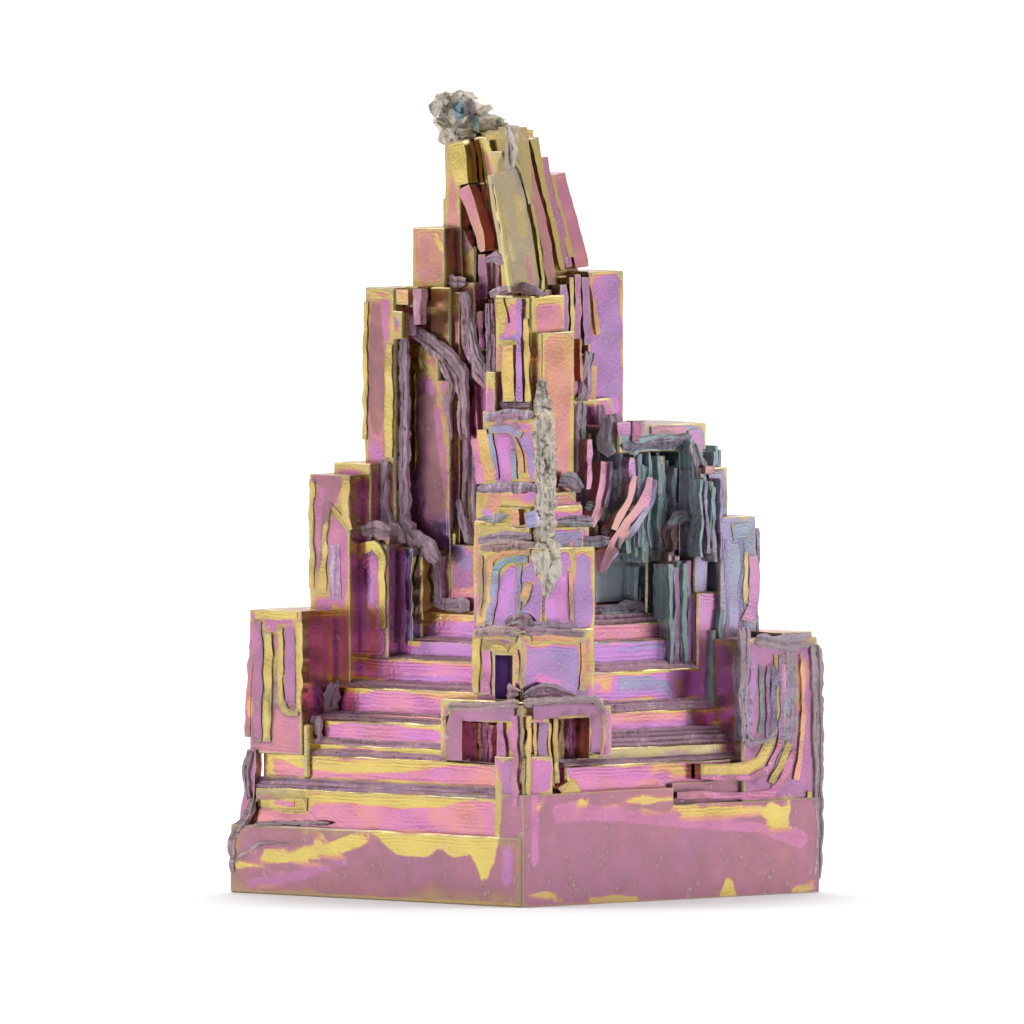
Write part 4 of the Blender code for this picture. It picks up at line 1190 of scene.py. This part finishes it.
def node(kind, **settings):
    made = tree.nodes.new(kind)
    for name, value in settings.items():
        setattr(made, name, value)
    return made


def wire(source, target):
    tree.links.new(source, target)


def plug(target, value):
    if isinstance(value, (int, float)):
        target.default_value = value
    elif isinstance(value, tuple):
        target.default_value = (*value, 1.0)
    else:
        wire(value, target)


def calc(operation, *values, clamp=False):
    made = node("ShaderNodeMath", operation=operation, use_clamp=clamp)
    for socket, value in zip(made.inputs, values):
        plug(socket, value)
    return made.outputs[0]


def plus(first, second):
    return calc("ADD", first, second)


def times(first, second):
    return calc("MULTIPLY", first, second)


def field(name):
    return node("ShaderNodeAttribute", attribute_name=name).outputs["Fac"]


place = node("ShaderNodeTexCoord").outputs["Object"]


def mottle(scale, detail=4.0, rough=0.6, stretch=(1.0, 1.0, 1.0), offset=(0.0, 0.0, 0.0)):
    mapping = node("ShaderNodeMapping")
    wire(place, mapping.inputs["Vector"])
    mapping.inputs["Location"].default_value = offset
    mapping.inputs["Rotation"].default_value = (0.0, 0.0, math.radians(45.0))
    mapping.inputs["Scale"].default_value = stretch
    texture = node("ShaderNodeTexNoise")
    wire(mapping.outputs[0], texture.inputs["Vector"])
    texture.inputs["Scale"].default_value = scale
    texture.inputs["Detail"].default_value = detail
    texture.inputs["Roughness"].default_value = rough
    return calc("SUBTRACT", texture.outputs["Fac"], 0.5)


def rise(value, start, end, low=0.0, high=1.0):
    made = node("ShaderNodeMapRange", interpolation_type="SMOOTHSTEP")
    settings = {"Value": value, "From Min": start, "From Max": end, "To Min": low, "To Max": high}
    for name, setting in settings.items():
        plug(made.inputs[name], setting)
    return made.outputs[0]


def blend(amount, first, second, kind="RGBA"):
    made = node("ShaderNodeMix", data_type=kind)
    plug(made.inputs[0], amount)
    inlet = 6 if kind == "RGBA" else 2
    plug(made.inputs[inlet], first)
    plug(made.inputs[inlet + 1], second)
    return made.outputs[2 if kind == "RGBA" else 0]


broad = mottle(170.0, 2.0)
patchy = mottle(520.0, 4.0, 0.6, offset=(0.3, 0.1, 0.2))
fine = mottle(3200.0, 4.0, 0.7)
grooves = mottle(2600.0, 4.0, 0.6, (1.0, 1.0, 0.12))
courses = mottle(2000.0, 4.0, 0.6, (0.14, 0.14, 2.0))
rim, corner, ledge, fade = field("rim"), field("corner"), field("ledge"), field("fade")

# From every rim the film thickens inwards, to the block's own thickness and a little to and fro.
own = plus(field("oxide"), plus(times(broad, 2.6), times(patchy, 1.3)))
reach = calc("MAXIMUM", times(fade, plus(0.9, plus(times(broad, 8.0), times(patchy, 2.0)))), 0.02)
grown_in = rise(rim, times(reach, 0.45), times(reach, 1.7))
grown_in = calc("MAXIMUM", grown_in, calc("MAXIMUM", ledge, calc("LESS_THAN", fade, 0.0)))
film = plus(1.9, times(calc("SUBTRACT", own, 1.9), grown_in))
height = node("ShaderNodeSeparateXYZ")
wire(place, height.inputs[0])
drop = calc("SUBTRACT", field("top"), times(height.outputs[2], 1000.0))
past_band = calc("SUBTRACT", drop, plus(times(field("band"), plus(1.0, times(broad, 5.0))), times(patchy, 0.5)))
film = blend(rise(past_band, -0.08, 0.12), plus(2.0, patchy), film, "FLOAT")
stained = rise(plus(field("stain"), plus(times(patchy, 0.5), times(fine, 0.12))), -0.09, 0.11)
film = blend(stained, film, plus(field("stain_film"), times(patchy, 1.2)), "FLOAT")
film = plus(film, times(fine, 0.5))

ramp = node("ShaderNodeValToRGB")
wire(calc("MULTIPLY", film, 0.1, clamp=True), ramp.inputs[0])
colours = (
    (0.00, (0.40, 0.35, 0.28)),
    (0.08, (0.50, 0.42, 0.22)),
    (0.17, (0.70, 0.57, 0.10)),
    (0.25, (0.70, 0.47, 0.11)),
    (0.33, (0.72, 0.33, 0.16)),
    (0.42, (0.71, 0.25, 0.27)),
    (0.50, (0.62, 0.18, 0.44)),
    (0.60, (0.49, 0.20, 0.55)),
    (0.70, (0.32, 0.23, 0.48)),
    (0.79, (0.25, 0.35, 0.44)),
    (0.88, (0.25, 0.47, 0.45)),
    (1.00, (0.16, 0.33, 0.31)),
)
elements = ramp.color_ramp.elements
while len(elements) < len(colours):
    elements.new(0.5)
for element, (position, _) in zip(elements, colours):
    element.position = position
for element, (_, colour) in zip(elements, colours):
    element.color = (*colour, 1.0)

# Dust, wear and painted shade: old faces are dulled to mauve dust that is painted darker and browner higher up, as
# shade; rough seams and treads are streaked with painted shade in their cracks and painted glints; inner corners get
# painted shade, a dark line and a milder darkening; rims are worn pale, and the crust is bare metal.
dust = blend(stained, field("dust"), field("stain_dust"), "FLOAT")
dusty = calc("MULTIPLY", dust, plus(0.85, times(patchy, 1.2)), clamp=True)
# Painted shade: the dust colour is darker and browner higher up, where the faces are lit more dimly.
dust_and_shade = blend(rise(height.outputs[2], 0.018, 0.034), (0.36, 0.155, 0.17), (0.21, 0.085, 0.08))
dulled = blend(dusty, ramp.outputs[0], dust_and_shade)
seam = blend(rise(film, 6.4, 8.0, 0.5, 0.15), dulled, (0.62, 0.37, 0.47))
stripes = plus(blend(rise(height.outputs[2], 0.0, 0.03), courses, grooves, "FLOAT"), times(fine, 0.5))
# Painted shade and highlights: the dark streaks stand for shade in the seams' cracks, the light streaks for glints.
seam = blend(rise(stripes, -0.17, -0.04), (0.06, 0.03, 0.045), seam)
seam = blend(rise(stripes, 0.05, 0.15, 0.0, 0.8), seam, (0.76, 0.67, 0.70))
tread = blend(ledge, dulled, seam)
# Painted shade: a dark line along the inner corners, fading out within about a tenth of a millimetre.
corner_shade_line = rise(plus(corner, plus(times(patchy, 0.5), times(broad, 0.9))), 0.0, 0.12, 1.0, 0.0)
corner_shaded = blend(times(corner_shade_line, 0.4), tread, (0.07, 0.03, 0.045))
worn = rise(plus(rim, plus(times(fine, 0.10), times(broad, 0.35))), 0.0, 0.09, 1.0, 0.0)
worn = times(worn, calc("SUBTRACT", 0.6, times(ledge, 0.5)))
worn_edge = blend(worn, corner_shaded, (0.46, 0.38, 0.24))
# Painted shade: the colour is darkened to 0.8 within about half a millimetre of inner corners.
shade = rise(plus(corner, times(patchy, 0.6)), 0.0, 0.5, 0.8, 1.0)
shaded = node("ShaderNodeVectorMath", operation="SCALE")
wire(worn_edge, shaded.inputs[0])
wire(shade, shaded.inputs["Scale"])
bare = field("bare")
pitted = blend(rise(plus(fine, patchy), -0.22, 0.04), (0.19, 0.17, 0.14), (0.74, 0.67, 0.56))

# The tip's crust has three tarnished patches, two blue and one dark, at these places in metres.
for x, z, wide, high, tint in (
    (-0.00492, 0.05870, 0.00042, 0.00070, (0.08, 0.28, 0.44)),
    (-0.00400, 0.05872, 0.00042, 0.00085, (0.14, 0.06, 0.13)),
    (-0.00365, 0.05775, 0.00030, 0.00065, (0.14, 0.36, 0.36)),
):
    from_centre = node("ShaderNodeVectorMath", operation="SUBTRACT")
    wire(place, from_centre.inputs[0])
    from_centre.inputs[1].default_value = (x, 0.0, z)
    in_radii = node("ShaderNodeVectorMath", operation="MULTIPLY")
    wire(from_centre.outputs[0], in_radii.inputs[0])
    in_radii.inputs[1].default_value = (1.0 / wide, 0.0, 1.0 / high)
    distance = node("ShaderNodeVectorMath", operation="LENGTH")
    wire(in_radii.outputs[0], distance.inputs[0])
    tarnished = rise(plus(distance.outputs["Value"], times(patchy, 0.8)), 0.7, 1.3, 0.85, 0.0)
    pitted = blend(tarnished, pitted, tint)
silver = blend(times(bare, 0.9), shaded.outputs[0], pitted)

# Haze and specks whiten the colour; the haze is partly painted light, lifting faces and seams that would show dark and
# standing for glints on the strands. Dust, ledges and bare crust are less metallic and rougher, and the bump gives them
# grain, with faint contour lines beside the rims of clean faces.
speck = rise(plus(fine, times(patchy, 0.5)), 0.12, 0.24, 0.0, 0.5)
hazed = blend(plus(speck, plus(0.11, field("haze"))), silver, (0.62, 0.58, 0.62))
wire(hazed, shader.inputs["Base Color"])
powdery = plus(times(ledge, 0.3), plus(times(dusty, 0.2), times(bare, 0.6)))
powdery = plus(powdery, field("haze"))
wire(calc("SUBTRACT", 1.0, powdery, clamp=True), shader.inputs["Metallic"])
rough = plus(0.15, times(dusty, 0.3))
rough = plus(rough, times(ledge, 0.22))
rough = plus(rough, times(bare, 0.2))
wire(calc("ADD", rough, times(patchy, 0.14), clamp=True), shader.inputs["Roughness"])
contours = calc("SINE", times(plus(rim, plus(times(patchy, 0.3), times(broad, 0.5))), 24.0))
contours = times(contours, rise(rim, 0.15, 1.3, 1.0, 0.0))
contours = times(contours, calc("SUBTRACT", 1.0, ledge))
bump = node("ShaderNodeBump")
bump.inputs["Strength"].default_value = 1.0
bump.inputs["Distance"].default_value = 0.0001
crinkle = mottle(1500.0, 6.0, 0.75, (1.0, 1.0, 0.35))
grain = plus(times(fine, plus(0.13, times(bare, 0.9))), times(stripes, plus(0.04, times(ledge, 1.6))))
grain = plus(grain, times(crinkle, plus(0.06, plus(times(ledge, 3.2), times(bare, 2.5)))))
grain = plus(grain, times(contours, 0.02))
wire(plus(grain, times(patchy, plus(0.12, times(bare, 1.2)))), bump.inputs["Height"])
wire(bump.outputs[0], shader.inputs["Normal"])
whole.materials.clear()
whole.materials.append(finish)
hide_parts("bismuth_crystal")
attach(crystal, "root")

# The floor is a plain pale surface that carries the crystal. It starts just in front of it and
# runs far back, so that from the front no far edge shows.
FLOOR_HALF = 6.0
FLOOR_BACK = 5.76
floor_bm = bmesh.new()
bmesh.ops.create_grid(floor_bm, x_segments=2, y_segments=2, size=FLOOR_HALF)
bmesh.ops.translate(floor_bm, vec=(0.0, FLOOR_BACK, 0.0), verts=floor_bm.verts)
floor_mesh = bpy.data.meshes.new("floor")
floor_bm.to_mesh(floor_mesh)
floor_bm.free()
floor = bpy.data.objects.new("floor", floor_mesh)
bpy.context.scene.collection.objects.link(floor)
pale = bpy.data.materials.new("pale_floor")
pale.use_nodes = True
surface = pale.node_tree.nodes["Principled BSDF"]
surface.inputs["Base Color"].default_value = (0.86, 0.86, 0.87, 1.0)
surface.inputs["Roughness"].default_value = 0.8
floor_mesh.materials.append(pale)

# Soft studio light: three square softboxes above, at both sides and behind, in a white room that
# is dimmer behind the camera, so that the faces keep their own colours.
world = bpy.data.worlds.new("studio")
bpy.context.scene.world = world
world.use_nodes = True
room = world.node_tree
towards = room.nodes.new("ShaderNodeTexCoord")
axes = room.nodes.new("ShaderNodeSeparateXYZ")
room.links.new(towards.outputs["Generated"], axes.inputs[0])
dim = room.nodes.new("ShaderNodeMapRange")
dim.inputs["From Min"].default_value = -0.9
dim.inputs["From Max"].default_value = -0.1
dim.inputs["To Min"].default_value = 0.25
dim.inputs["To Max"].default_value = 0.68
room.links.new(axes.outputs[1], dim.inputs["Value"])
room.links.new(dim.outputs[0], room.nodes["Background"].inputs["Strength"])
room.nodes["Background"].inputs["Color"].default_value = (1.0, 1.0, 1.0, 1.0)


def soft_light(name, place, aim, size, power):
    lamp = bpy.data.lights.new(name, "AREA")
    lamp.shape = "SQUARE"
    lamp.size = size
    lamp.energy = power
    obj = bpy.data.objects.new(name, lamp)
    obj.location = place
    obj.rotation_euler = (Vector(aim) - Vector(place)).to_track_quat("-Z", "Y").to_euler()
    bpy.context.scene.collection.objects.link(obj)


soft_light("softbox_left", (-1.7, 0.1, 1.2), (-1.1, 0.1, 0.0), 1.6, 24.0)
soft_light("softbox_right", (1.7, 0.1, 1.2), (1.1, 0.1, 0.0), 1.6, 24.0)
soft_light("softbox_back", (0.0, 1.6, 1.4), (0.0, 0.8, 0.0), 1.5, 26.0)

# A long lens looks at the crystal's front edge from a little above, and takes in a view that is
# a little wider than the crystal is high.
camera = bpy.data.objects.new("camera", bpy.data.cameras.new("camera"))
bpy.context.scene.collection.objects.link(camera)
bpy.context.scene.camera = camera
AIM = Vector((-0.00094, 0.0, 0.02855))
DISTANCE = 3.0
VIEW_WIDTH = 0.0768
tilt = math.radians(2.5)
camera.location = AIM + Vector((0.0, -math.cos(tilt), math.sin(tilt))) * DISTANCE
camera.rotation_euler = (AIM - camera.location).to_track_quat("-Z", "Y").to_euler()
camera.data.lens = camera.data.sensor_width * DISTANCE / VIEW_WIDTH
camera.data.clip_end = 20.0
bpy.context.scene.view_settings.view_transform = "Standard"
